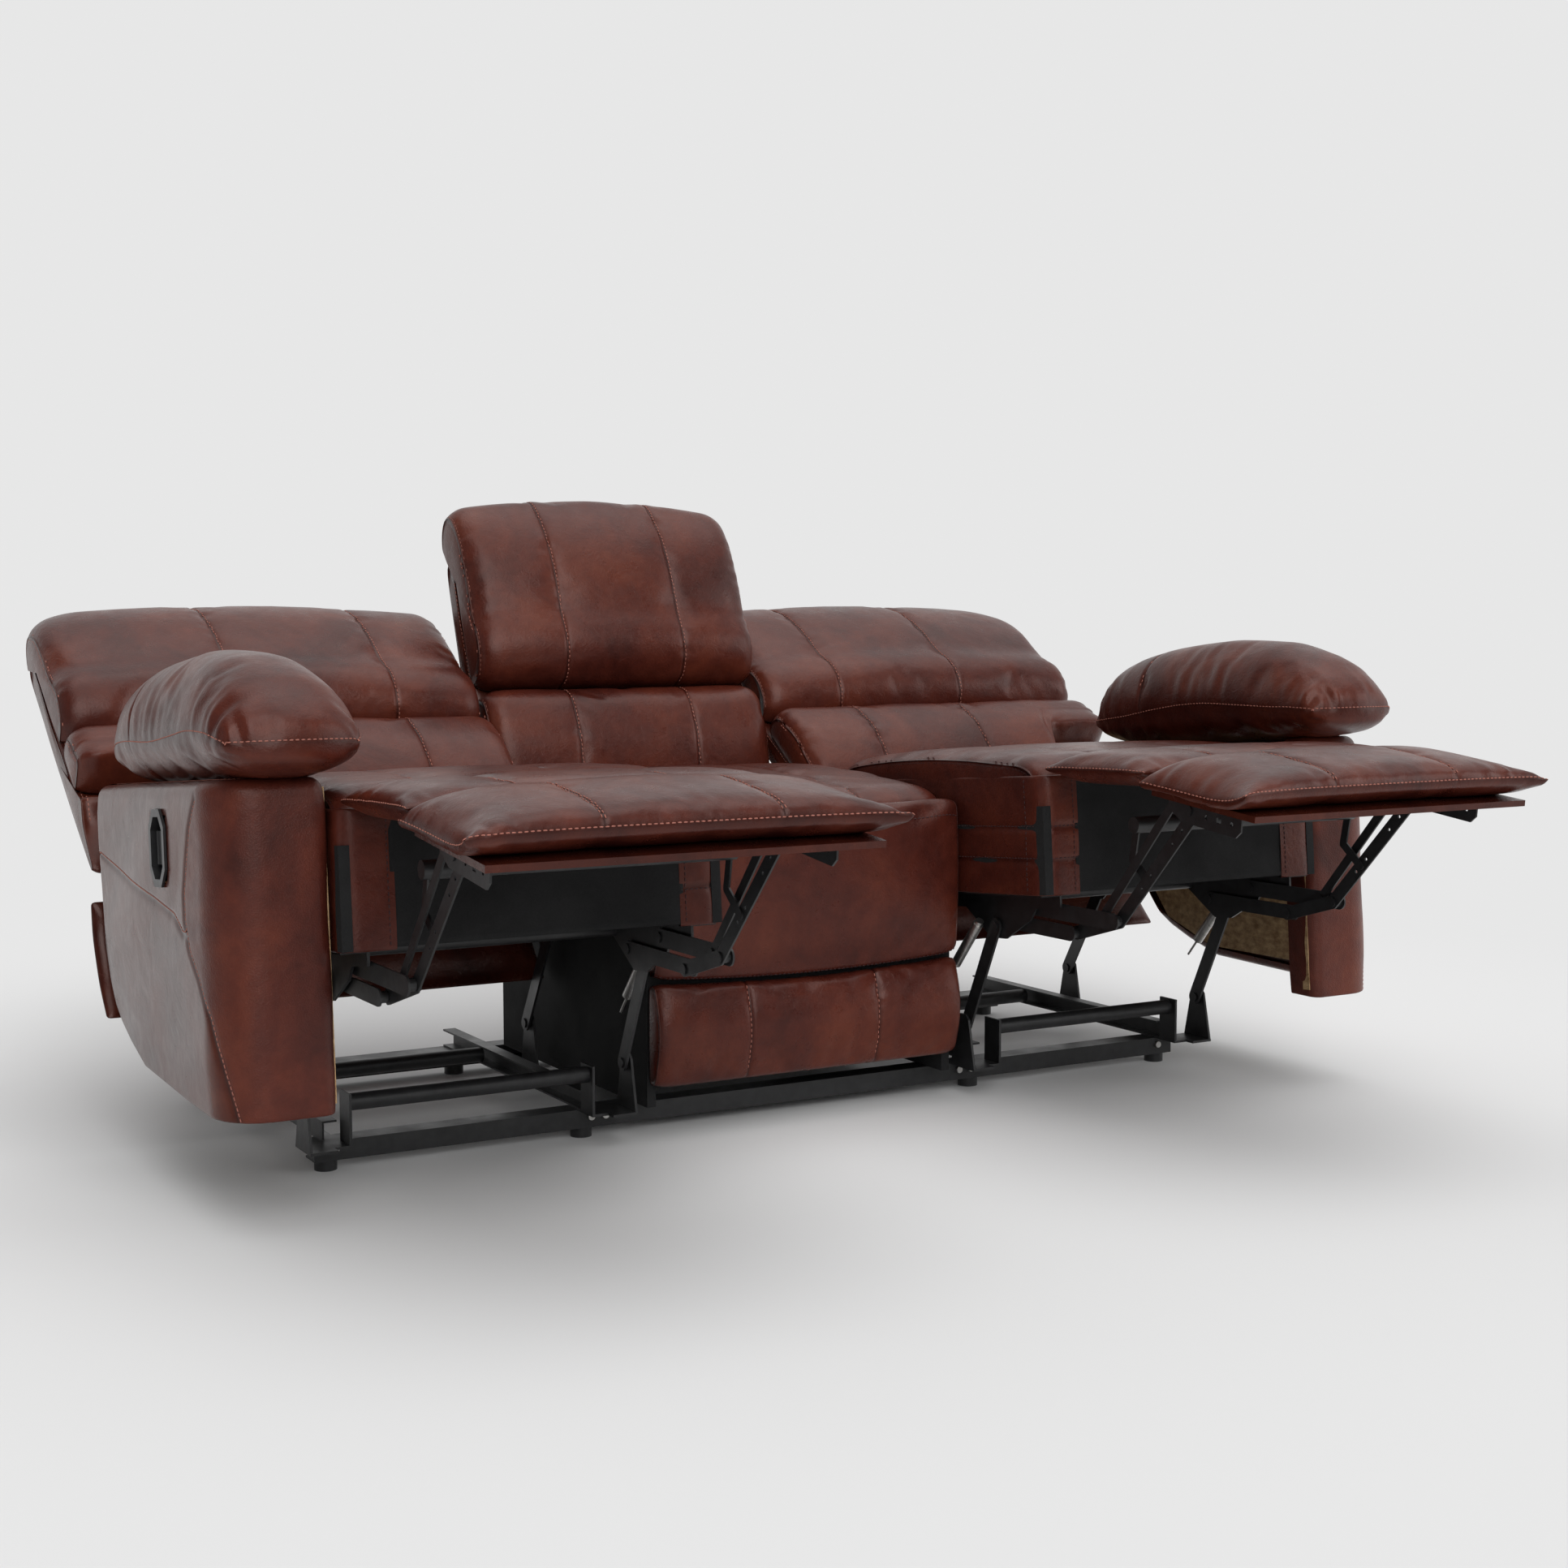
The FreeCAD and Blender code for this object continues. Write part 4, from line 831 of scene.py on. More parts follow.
class Pillow:
    """A top and a bottom panel sewn together round their edge."""

    def __init__(self, name, xs, ys, shape, how, side, body, material, seam_x=(), seam_y=(), depth=3.5):
        """shape(x, y) gives (x, y, z top, z bottom) in mm for unit places x and y."""
        self.nx, self.ny = len(xs), len(ys)
        self.body = body
        top = np.array([[shape(u, v)[:3] for v in ys] for u in xs], float)
        bot = np.array([[(*shape(u, v)[:2], shape(u, v)[3]) for v in ys] for u in xs], float)
        nx, ny = self.nx, self.ny
        ids = np.arange(nx * ny).reshape(nx, ny)
        low = np.full((nx, ny), -1)
        verts = list(top.reshape(-1, 3))
        for i in range(nx):
            for j in range(ny):
                if i in (0, nx - 1) or j in (0, ny - 1):
                    low[i, j] = ids[i, j]
                else:
                    low[i, j] = len(verts)
                    verts.append(bot[i, j])
        faces = []
        for i in range(nx - 1):
            for j in range(ny - 1):
                faces.append((ids[i, j], ids[i + 1, j], ids[i + 1, j + 1], ids[i, j + 1]))
                faces.append((low[i, j], low[i, j + 1], low[i + 1, j + 1], low[i + 1, j]))
        self.ids, self.low = ids, low
        v = np.array(verts)
        self.world = placed(v, how, side)
        self.ob = mesh_object(name, self.world, flipped(faces, side or 1), body, material)
        outward(self.ob)
        self.pin = np.zeros(len(v))
        # self.seam is painted shade along the sewn lines and round the sewn edge.
        self.seam = np.zeros(len(v))
        self.rows = {s: min(range(nx), key=lambda i: abs(xs[i] - s)) for s in seam_x}
        self.lines = {s: min(range(ny), key=lambda j: abs(ys[j] - s)) for s in seam_y}
        nr = self.normals()
        for i in self.rows.values():
            for j in range(1, ny - 1):
                k = ids[i, j]
                self.pin[k] = self.seam[k] = 1
                self.world[k] -= nr[k] * depth * 0.001
        for j in self.lines.values():
            for i in range(1, nx - 1):
                k = ids[i, j]
                self.pin[k] = self.seam[k] = 1
                self.world[k] -= nr[k] * depth * 0.001
        edge = np.r_[ids[0], ids[-1], ids[:, 0], ids[:, -1]]
        self.pin[edge] = 1
        self.seam[edge] = 0.85
        self.write()

    normals = Pad.normals
    write = Pad.write

    def edge_pucker(self, height, period, reach, seed):
        """Folds that run in from the sewn edge and die away, on the top panel."""
        top = self.world[self.ids]
        nr = self.normals()[self.ids]
        r = np.random.default_rng(seed)
        nx, ny = self.nx, self.ny
        x, y = top[..., 0] * 1000, top[..., 1] * 1000
        for near, along in ((x - x[0:1], y), (x[-1:] - x, y), (y - y[:, 0:1], x), (y[:, -1:] - y, x)):
            d = np.abs(near)
            wave = sum(np.sin(along * 2 * pi / (period * q) + r.uniform(0, 6) + d / 40)
                       for q in (1.0, 1.43, 0.69)) / 2
            gate = np.clip(np.sin(along / 47 + r.uniform(0, 6)) + 0.5, 0, 1)
            f = np.exp(-d / reach) * np.clip(d / 5, 0, 1)
            top += nr * (height * 0.001 * f * wave * gate)[..., None]
        keep = self.pin[self.ids] > 0.5
        old = self.world[self.ids]
        top[keep] = old[keep]
        self.world[self.ids.reshape(-1)] = top.reshape(-1, 3)
        self.write()


def with_seams(places, seams, gap):
    """Unit places with extra ones at and beside each seam."""
    keep = [p for p in places if all(abs(p - s) > gap * 0.8 for s in seams)]
    for s in seams:
        keep += [s - gap, s - gap * 0.4, s, s + gap * 0.4, s + gap]
    return sorted(keep)


def rounded(t, p, q):
    return max(0.0, 1 - abs(t) ** p) ** (1 / q)


def make_arm_pads():
    x_mid = (ARM_INNER + ARM_OUTER) / 2 - 17
    front, rear = ARM_PAD_FRONT, ARM_PAD_REAR
    base, top = ARM_TOP + 4, ARM_PAD_TOP

    def shape(u, v):
        """u runs across and v from front to rear."""
        along = (v + 1) / 2
        wide = 105 * (0.95 + 0.05 * min(along / 0.3, 1)) * (1 - 0.05 * max(0, (along - 0.7) / 0.3))
        x = x_mid + u * wide * sqrt(1 - 0.22 * v ** 8) * (1 - 0.02 * (1 - v * v))
        y = front + (rear - front) * along + (1 - u * u) * (-6 if v < 0 else 6) * abs(v) ** 3
        y += (16 * u * u * (1 if v < 0 else -1)) * abs(v) ** 4
        rise = np.interp(along, [0, 0.1, 0.25, 0.45, 0.72, 0.9, 1],
                         [0.62, 0.80, 0.93, 1.0, 0.99, 0.94, 0.86])
        full = (top - base) * rise
        waist = base + full * (0.36 - 0.08 * along) + 5 * sin(along * 9.0) * u
        z_top = waist + (base + full - waist) * rounded(u, 2.6, 2.0) * rounded(v, 5.0, 2.4)
        z_low = waist - (waist - base + 2) * rounded(u, 3.0, 2.2) * rounded(v, 6.0, 2.4)
        if along < 0.12:
            z_low -= (0.12 - along) * 90 * rounded(u, 3, 2.2) * rounded(v, 6.0, 2.4)
        return x, y, z_top, z_low

    seam = 0.48
    for side in (-1, 1):
        tag = "left" if side < 0 else "right"
        p = Pillow(tag + "_arm_pillow", list(edge_spaced(26)),
                   with_seams(list(edge_spaced(64)), (seam,), 0.03), shape, "seat", side,
                   tag + "_carriage", LEATHER, seam_y=(seam,))
        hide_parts(tag + "_arm_pad")
        p.edge_pucker(5.0, 30, 26, 70 + side)
        queue_sim(p, 3.0, 0.025, 9)
        j = p.lines[seam]
        trim(p, ("ids", p.ids[2:-2, j]), aside=4.0)
        ring = list(p.ids[0, :]) + list(p.ids[1:, -1]) + list(p.ids[-1, ::-1][1:]) + list(p.ids[::-1,
                                                                                                0][1:])
        inner = list(p.ids[1, :]) + list(p.ids[1:-1, -2]) + list(p.ids[-2, ::-1]) + list(p.ids[::-1, 1][1:])
        trim(p, ("between", ring, inner, 4.5), aside=0.0, material=THREAD)


def make_footrests():
    lift = REST_LIFT

    def pad_shape(u, v):
        """u across, v from the rear edge (-1) to the front edge (1)."""
        corner = abs(u) ** 6 * max(0, v) ** 4
        half = 285 - 5 * (1 - v * v)
        up = 26 * max(0.0, v) ** 3
        f = 60 + 118 * v + 8 * corner - 5 * (1 - u * u) * max(v, 0) ** 4
        x = half * u + 13 * corner * (1 if u > 0 else -1)
        crown = (1 - u * u)
        h = (46 - 14 * max(0.0, v) ** 2) * (1 + 0.20 * crown)
        edge_u = rounded(u, 7.0, 2.2)
        edge_v = rounded(v, 4.2, 2.1) if v > 0 else rounded(v, 3.4, 2.0)
        z_top = lift + 6 + up + h * edge_u * edge_v
        yz = rest_yz(f, z_top)
        lo = rest_yz(f, lift - 1 + up)
        return x, yz[0], yz[1], lo[1]

    def flap_shape(u, v):
        """u across, v from the seat (-1) to the footrest (1)."""
        along = (v + 1) / 2
        x = 276 * u * (1 - 0.012 * (1 - v * v))
        y = -100 - 240 * along
        mid = 495 - 6 * along - 4 * along ** 2
        h = 27 + 3 * (1 - u * u)
        z_top = mid + (h - 5 * along) * rounded(u, 9.0, 2.2) * rounded(v, 3.2, 2.0)
        z_low = mid - 22 * rounded(u, 9.0, 2.2) * rounded(v, 3.2, 2.0)
        return x, y, z_top, z_low

    seams = (-0.415, 0.415)
    for side in (-1, 1):
        tag = "left" if side < 0 else "right"
        p = Pillow(tag + "_footrest_cushion", with_seams(list(edge_spaced(58)), seams, 0.035),
                   list(edge_spaced(28)), pad_shape, "seat",
                   side, tag + "_footrest", LEATHER, seam_x=seams)
        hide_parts(tag + "_footrest_pad")
        p.edge_pucker(3.4, 27, 22, 80 + side)
        queue_sim(p, 1.6, 0.010, 3.5)
        for s in seams:
            trim(p, ("ids", p.ids[p.rows[s], 2:-1]), aside=4.0, both=True)
        trim(p, ("between", list(p.ids[:, -1]), list(p.ids[:, -2]), 4.0), aside=0.0, material=THREAD)
        trim(p, ("between", list(p.ids[0, :]), list(p.ids[1, :]), 4.0), aside=0.0, material=THREAD)
        trim(p, ("between", list(p.ids[-1, :]), list(p.ids[-2, :]), 4.0), aside=0.0, material=THREAD)
        q = Pillow(tag + "_flap_cushion", with_seams(list(edge_spaced(52)), seams, 0.035),
                   list(edge_spaced(22)), flap_shape, "seat",
                   side, tag + "_flap", LEATHER, seam_x=seams)
        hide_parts(tag + "_chaise_flap")
        q.edge_pucker(3.0, 28, 20, 90 + side)
        queue_sim(q, 1.6, 0.012, 3.5)
        for s in seams:
            trim(q, ("ids", q.ids[q.rows[s], 1:-1]), aside=4.0)
        for edge, nxt in ((0, 1), (-1, -2)):
            trim(q, ("between", list(q.ids[edge, :]), list(q.ids[nxt, :]), 4.0), aside=0.0, material=THREAD)
        q.squash = tag + "_footrest"


# Leather skins over boards
def path_frame(points):
    """Points along a plan path with their outward normals (right of travel)."""
    p = np.asarray(points, float)
    t = np.gradient(p, axis=0)
    t /= np.linalg.norm(t, axis=1, keepdims=True)
    return p, np.column_stack([t[:, 1], -t[:, 0]])


def plan_path(corners, step=5.0):
    """Dense plan path through (x, y, radius) corners with rounded turns."""
    out = []
    pts = [np.array(c[:2], float) for c in corners]
    for i, (c, p) in enumerate(zip(corners, pts)):
        if i in (0, len(corners) - 1) or c[2] == 0:
            out.append(p)
            continue
        a, b = pts[i - 1] - p, pts[i + 1] - p
        a /= np.linalg.norm(a)
        b /= np.linalg.norm(b)
        half = acos(max(-1, min(1, a @ b))) / 2
        cut = c[2] / np.tan(half)
        start, end = p + a * cut, p + b * cut
        centre = p + (a + b) / np.linalg.norm(a + b) * c[2] / sin(half)
        a0, a1 = atan2(*(start - centre)[::-1]), atan2(*(end - centre)[::-1])
        turn = (a1 - a0 + pi) % (2 * pi) - pi
        n = max(3, int(abs(turn) * c[2] / step))
        out += [centre + c[2] * np.array([cos(a0 + turn * k / n),
                                          sin(a0 + turn * k / n)]) for k in range(n + 1)]
    line = np.array(out)
    return line, run_length(line)


ARM_PATH, ARM_RUN = plan_path([(ARM_INNER + 2, ARM_FRONT + 60, 0), (ARM_INNER + 2, ARM_FRONT, 22),
                               (ARM_OUTER, ARM_FRONT, ARM_CORNER),
                               (ARM_OUTER, ARM_REAR - 2, 14), (ARM_OUTER - 70, ARM_REAR - 2, 0)])
ARM_S0 = ARM_RUN[np.argmin(np.hypot(ARM_PATH[:, 0] - (ARM_INNER + 24), ARM_PATH[:, 1] - ARM_FRONT))] - 24
SEAM_FRONT = [(98, 139), (131, 148), (177, 161), (228, 179), (273, 217), (307, 256), (349, 278),
              (384, 281), (424, 266), (467, 243),
              (504, 209), (535, 190)]
SEAM_SIDE = [(286, 327), (332, 349), (425, 367), (562, 389), (683, 412), (749, 426), (850, 440)]
BOTTOM_RUN = [ARM_FRONT, 100, 324, 400, 450, 484, 510, 530, 545, 553]
BOTTOM_RISE = [89, 104, 127, 155, 178, 200, 232, 275, 330, 400]


def arm_bottom(y):
    """Height of the arm's lower edge at a depth."""
    return float(np.interp(y, BOTTOM_RUN, BOTTOM_RISE))


def arm_at(s, z, inward=0.0):
    """Point on an arm's skin at run s and height z, moved inward."""
    x = np.interp(s, ARM_RUN, ARM_PATH[:, 0])
    y = np.interp(s, ARM_RUN, ARM_PATH[:, 1])
    d = 3.0
    tx = np.interp(s + d, ARM_RUN, ARM_PATH[:, 0]) - np.interp(s - d, ARM_RUN, ARM_PATH[:, 0])
    ty = np.interp(s + d, ARM_RUN, ARM_PATH[:, 1]) - np.interp(s - d, ARM_RUN, ARM_PATH[:, 1])
    n = hypot(tx, ty) or 1
    return np.array([x - ty / n * inward, y + tx / n * inward, z])


def make_arms():
    total = ARM_RUN[-1]
    off = ARM_S0
    seam_z = [z for z, _ in SEAM_FRONT]
    seam_s = [s + off for _, s in SEAM_FRONT]
    side_s = [s + off for s, _ in SEAM_SIDE]
    side_z = [z for _, z in SEAM_SIDE]
    ka, kb, r1, r2 = 44, 120, 40, 36
    low_z, mid_z, top_z = 98.0, 332.0, ARM_TOP - 24
    hy, hz = HANDLE_POINT

    def swell(s, z, y):
        """Padding of the skin, flat round the handle and at the edges."""
        edge = min(1.0, (z - arm_bottom(y)) / 60) * min(1.0, (ARM_TOP - z) / 40)
        wave = 1.6 * sin(s / 61.0 + z / 47.0) * sin(z / 83.0)
        away = min(1.0, max(0.0, (hypot(y - hy, z - hz) - 52) / 40)) if y > ARM_FRONT + ARM_CORNER else 1.0
        return (-3.2 + (2.6 + wave) * edge) * away if away < 1 else -3.2 + (2.6 + wave) * edge

    grid, marks = [], []
    for r in range(r1 + r2 + 1):
        zn = low_z + (mid_z - low_z) * r / r1 if r <= r1 else mid_z + (top_z - mid_z) * (r - r1) / r2
        ss = float(np.interp(zn, seam_z, seam_s))
        row = []
        for c in range(ka + kb + 1):
            s = ss * c / ka if c <= ka else ss + (total - ss) * (c - ka) / kb
            y = float(np.interp(s, ARM_RUN, ARM_PATH[:, 1]))
            zb = arm_bottom(y)
            zm = float(np.interp(s, side_s, side_z)) if c > ka else mid_z
            zm = min(max(zm, zb + 12), top_z - 6)
            z = zb + (zm - zb) * r / r1 if r <= r1 else zm + (top_z - zm) * (r - r1) / r2
            row.append((s, z, y))
        grid.append(row)
    cols = ka + kb + 1
    # seam is painted shade: dark along the pushed-in front seam, a little beside it.
    verts, seam = [], []
    lip = [(16.0, 16.0), (14.0, 6.0), (9.0, 1.5), (4.0, 0.5)]
    for inward, up in lip:
        for s, z, y in grid[0]:
            verts.append(arm_at(s, arm_bottom(y) + up, 3.2 + inward))
            seam.append(0.0)
    for r, row in enumerate(grid):
        for c, (s, z, y) in enumerate(row):
            on = c == ka or (r == r1 and c >= ka)
            near = abs(c - ka) == 1 or (abs(r - r1) == 1 and c > ka)
            verts.append(arm_at(s, z, -swell(s, z, y) + (3.0 if on else 0.6 if near else 0.0)))
            seam.append(1.0 if on else 0.25 if near else 0.0)
    # The third value of each rim row is painted shade, darkest in the groove round the top.
    rim_rows = ((1.5, 15.0, 0), (5.5, 7.5, 0), (12.0, 2.6, 0), (19.0, 0.6, 0.3), (23.0, 1.8, 1.0),
                (27.0, 0.4, 0.3),
                (40.0, 0.0, 0))
    for inward, drop, dark in rim_rows:
        for s, z, y in grid[-1]:
            verts.append(arm_at(s, ARM_TOP - drop, 1.0 + inward))
            seam.append(float(dark))
    rows = len(lip) + len(grid) + 7
    faces, kinds = [], []
    for r in range(rows - 1):
        for c in range(cols - 1):
            q = (r * cols + c, r * cols + c + 1, (r + 1) * cols + c + 1, (r + 1) * cols + c)
            g = r - len(lip)
            if 0 <= g < len(grid) - 1:
                zc, yc = (sum(grid[k][j][i] for k in (g, g + 1) for j in (c, c + 1)) / 4 for i in (1, 2))
                if yc > 60 and abs(yc - hy) < 35 and abs(zc - hz) < 46:
                    continue
            faces.append(q)
            kinds.append(0 if c < ka else 1)
    ring = [(rows - 1) * cols + c for c in range(cols)]
    faces.append(tuple(reversed(ring)))
    kinds.append(1)
    v = np.array(verts)
    near = (np.abs(v[:, 1] - hy) < 42) & (np.abs(v[:, 2] - hz) < 52) & (v[:, 0] > ARM_OUTER - 6)
    v[near, 0] = ARM_OUTER - 0.8
    seam = np.array(seam)
    for side in (-1, 1):
        tag = "left" if side < 0 else "right"
        ob = mesh_object(tag + "_arm_leather", placed(v, "seat", side), flipped(faces, -side),
                         tag + "_carriage", [PEBBLE, SIDE_LEATHER])
        outward(ob)
        ob.data.polygons.foreach_set("material_index", kinds)
        ob.data.update()
        finish_mesh(ob, seam)
        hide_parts(tag + "_arm_cover")
        w = placed(v, "seat", side)
        base = len(lip) * cols
        tree = surface_of(ob)
        front = [w[base + r * cols + ka] for r in range(len(grid))]
        along = [w[base + r1 * cols + c] for c in range(ka, cols - 14)]
        rim = [w[(rows - 3) * cols + c] for c in range(10, cols - 16)]
        stitches(tag + "_arm_seams", [front, along, rim], [tree] * 3, tag + "_carriage", aside=4.2 * side,
                 material=THREAD, pitch=7.0)


def skin(name, path, z0, z1, body, material, how, side, rows=24, bulge=1.0, lines=(),
         thick=3.0):
    """A padded skin standing on a plan path between two heights, with its edges turned in."""
    p, nrm = path_frame(path)
    verts, seam = [], []
    profile = [(-12, 2.0), (-4, 0.3)] + [(None, k / rows) for k in range(rows + 1)] + [(-4, -0.3),
                                                                                       (-12, -2.0)]
    n = len(p)
    for kind, h in profile:
        for i in range(n):
            end = min(i, n - 1 - i) / 4
            if kind is None:
                z = z0 + (z1 - z0) * h
                out = thick + bulge * min(1, end) * (1 - (2 * h - 1) ** 6) + 0.7 * sin(i / 3.1 + h * 7)
                # dark is painted shade in the pressed-in quilting grooves.
                dark = 0.0
                for at in lines:
                    d = abs(z - at)
                    if d < 7:
                        out -= 2.4 * (1 - d / 7)
                    if d < 4:
                        dark = 1 - d / 4
                verts.append((p[i][0] + nrm[i][0] * out, p[i][1] + nrm[i][1] * out, z))
                seam.append(dark)
            else:
                z = z0 + h if h > 0 else z1 + h
                verts.append((p[i][0] + nrm[i][0] * (thick + kind), p[i][1] + nrm[i][1] * (thick + kind),
                              z))
                # painted shade on the turned-in edges
                seam.append(0.2)
    m = len(profile)
    faces = quads(m, n)
    v = placed(verts, how, side)
    ob = mesh_object(name, v, flipped(faces, side or 1), body, material)
    outward(ob, placed([(0, 200, 380)], how, side)[0])
    finish_mesh(ob, seam)
    return ob, v.reshape(m, n, 3)[2:-2]


def dense(points, step):
    p = np.asarray(points, float)
    run = run_length(p)
    n = max(3, int(run[-1] / step))
    at = np.linspace(0, run[-1], n + 1)
    return np.column_stack([np.interp(at, run, p[:, k]) for k in range(2)])


def make_seat_sides():
    """Leather round both front corners of each outer seat box, and the black cloth between."""
    for side in (-1, 1):
        tag = "left" if side < 0 else "right"
        body = tag + "_carriage"
        for inner in (True, False):
            x = -SEAT_HALF if inner else SEAT_HALF
            back = SEAT_REAR - 8 if inner else SEAT_FRONT + 46
            turn = 66 if inner else -74
            path, _ = plan_path([(x, back, 0), (x, SEAT_FRONT, 24), (x + turn, SEAT_FRONT, 0)], 4)
            path = dense(path, 9)
            if not inner:
                path = path[::-1]
            lines = QUILTING if inner else ()
            name = tag + ("_seat_side" if inner else "_seat_corner")
            top = SKIN_TOP
            ob, grid = skin(name, path, BOX_BOTTOM - 2, top, body, LEATHER, "seat", side, rows=34,
                            bulge=0.8, lines=lines, thick=0.9)
            tree = surface_of(ob)
            rows, aside = [], []
            for at in lines:
                r = int(round((at - BOX_BOTTOM + 2) / (top - BOX_BOTTOM + 2) * 34))
                rows.append(grid[r])
            if rows:
                stitches(name + "_quilting", rows, [tree] * len(rows), body, material=THREAD_DARK,
                         aside=3.6)
            edge = grid[1:-1, 1] if not inner else grid[1:-1, -2]
            corner = int(np.argmin(np.abs(path[:, 1] - (SEAT_FRONT + 44)) + np.abs(path[:, 0] - x) * 0.2))
            stitches(name + "_seams", [edge, grid[1:-1, corner]], [tree] * 2, body, material=THREAD_DARK)
        # black cloth across the front of the seat box
        xs = np.linspace(-SEAT_HALF + 60, SEAT_HALF - 68, 60)
        verts = []
        zs = np.linspace(BOX_BOTTOM + 2, 484, 22)
        for z in zs:
            for xx in xs:
                sag = 1.6 * sin(xx / 37 + z / 29) + 1.2 * sin(xx / 17 - z / 51)
                verts.append((xx, SEAT_FRONT + 0.6 - 1.2 - sag * 0.5, z))
        n = len(xs)
        faces = quads(len(zs), n)
        ob = mesh_object(tag + "_front_cloth", placed(verts, "seat", side), flipped(faces, side), body,
                         CLOTH)
        solid = ob.modifiers.new("thick", "SOLIDIFY")
        solid.thickness = 0.0012


def make_middle_sides():
    for s in (-1, 1):
        x = s * 278.0
        ends = [(x, SEAT_REAR - 6), (x, SEAT_FRONT + 36)]
        path = dense(ends if s < 0 else ends[::-1], 12)
        skin("middle_side_" + ("left" if s < 0 else "right"), path, 50, 434, "base", CLOTH, "fixed", 0,
             rows=16,
                        bulge=0.3, thick=0.6)


# Backs from behind
def make_back_covers():
    for side in (0, -1, 1):
        tag = {0: "middle", -1: "left", 1: "right"}[side]
        body = "base" if side == 0 else tag + "_back"
        how = "fixed" if side == 0 else "back"
        x0, x1 = (-276.0, 276.0) if side == 0 else (-276.0, 440.0)

        def loop(x):
            d = min(x - x0, x1 - x)
            e = 5.0 * (1 - min(d / 14, 1)) ** 2
            low = 1.0 + e
            t = min(max((x - 272) / 10, 0), 1) if side else 0
            cut = 80 * t
            front = SHELL_DEPTH - 1 - e
            foot = front - (front - 12) * t
            pts = [
                (e, low, 0),
                (foot, low, 0),
                (front, low + 3 + cut, 0),
                (front + 30 * t, 122, 0),
                (front, 130, 0),
                (front, SHELL_LENGTH - 2 - e, 0),
                (e, SHELL_LENGTH - 2 - e, 0.02),
            ]
            return back_yz(*relaxed(arc_loop(pts, [4, 8, 5, 3, 28, 4, 40]), 3).T)

        pad = Pad(tag + "_back_leather", spread(x0, x1, 12), loop, how, side, body, GLAZED, dome=1.5,
                  caps=3, ends=False)
        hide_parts(tag + "_back_shell")
        pad.pin[:] = 0
        sag = wander(pad.world * 1000, 160, 5 + side)
        pad.push(sag * 1.3)
        for i, aside in ((1, 6.0), (pad.n - 2, -6.0)):
            trim(pad, ("row", i, range(12, 46)), aside=aside, material=THREAD)
        if side:
            # leather skirt below the back, hung from the box behind the seat
            skirt(tag, side)


def skirt(tag, side):
    line = np.array([(582.0 + 26, 351.0), (582.0 + 24, 300.0), (574.0, 226.0), (531.0, 178.0)])
    run = dense(line, 9)
    for _ in range(6):
        run[1:-1] = run[1:-1] * 0.5 + (run[:-2] + run[2:]) * 0.25
    xs = np.linspace(-274, 440, 60)
    verts, seam = [], []
    n = len(run)
    for face in (0, 1):
        for x in xs:
            for i, (y, z) in enumerate(run):
                e = min(min(x + 274, 440 - x) / 9, min(i, n - 1 - i) / 1.5, 1)
                out = (3.0 if face == 0 else -9.0) * (0.25 + 0.75 * e) - 3
                verts.append((x, y + out - (0.6 * sin(x / 41 + z / 23)), z))
                # painted shade along the skirt's edges
                seam.append(0.4 if e < 0.4 else 0.0)
    m = len(xs)
    faces = []
    for f in range(2):
        o = f * m * n
        for a in range(m - 1):
            for b in range(n - 1):
                q = (o + a * n + b, o + (a + 1) * n + b, o + (a + 1) * n + b + 1, o + a * n + b + 1)
                faces.append(q if f == 0 else tuple(reversed(q)))
    rim = [a * n for a in range(m)] + [(m - 1) * n + b for b in range(1, n)]
    rim += [a * n + n - 1 for a in range(m - 2, -1, -1)] + list(range(n - 2, 0, -1))
    for a, b in zip(rim, rim[1:] + rim[:1]):
        faces.append((b, a, a + m * n, b + m * n))
    v = placed(verts, "seat", side)
    ob = mesh_object(tag + "_skirt_leather", v, flipped(faces, side), tag + "_carriage", GLAZED)
    outward(ob)
    finish_mesh(ob, seam)
    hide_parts(tag + "_rear_skirt")
    tree = surface_of(ob)
    grid = v[:m * n].reshape(m, n, 3)
    stitches(tag + "_skirt_seam", [grid[2:-2, 1], grid[m - 2, 1:-1], grid[1, 1:-1]], [tree] * 3,
             tag + "_carriage")


def sew_all():
    """Gives every cushion its seam shading and last subdivision, then lays its stitches."""
    trees, groups, done = {}, {}, []
    for pad, *_ in SIMS:
        done.append(pad)
    for pad, line, kw in TRIMS:
        if all(p is not pad for p in done):
            done.append(pad)
    for pad in done:
        finish_mesh(pad.ob, pad.seam)
    for pad, line, kw in TRIMS:
        if line[0] == "row":
            points = row_line(pad, line[1], line[2])
        elif line[0] == "col":
            points = col_line(pad, line[1], line[2])
        elif line[0] == "ids":
            points = pad.world[np.array(line[1])]
        else:
            a, b = pad.world[np.array(line[1])], pad.world[np.array(line[2])]
            d = b - a
            size = np.linalg.norm(d, axis=1, keepdims=True)
            points = a + d / np.maximum(size, 1e-6) * np.minimum(size * 0.9, line[3] * 0.001)
        if pad.ob.name not in trees:
            trees[pad.ob.name] = surface_of(pad.ob)
        key = (pad.ob.name, kw.get("aside", 0.0), kw.get("both", False), id(kw.get("material")))
        groups.setdefault(key, (pad, kw, []))[2].append(points)
    for k, (key, (pad, kw, lines)) in enumerate(groups.items()):
        name = pad.ob.name
        ob = stitches(name + "_stitch_" + str(k), lines, [trees[name]] * len(lines), pad.body,
                      material=kw.get("material"), aside=kw.get("aside", 0.0), both=kw.get("both", False))
        if ob is not None and getattr(pad, "squash", None):
            fold(ob)
    for pad in done:
        if getattr(pad, "squash", None):
            fold(pad.ob)


def fold(ob):
    """Gives a flap's object its own copy of its mesh data."""
    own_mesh(ob)


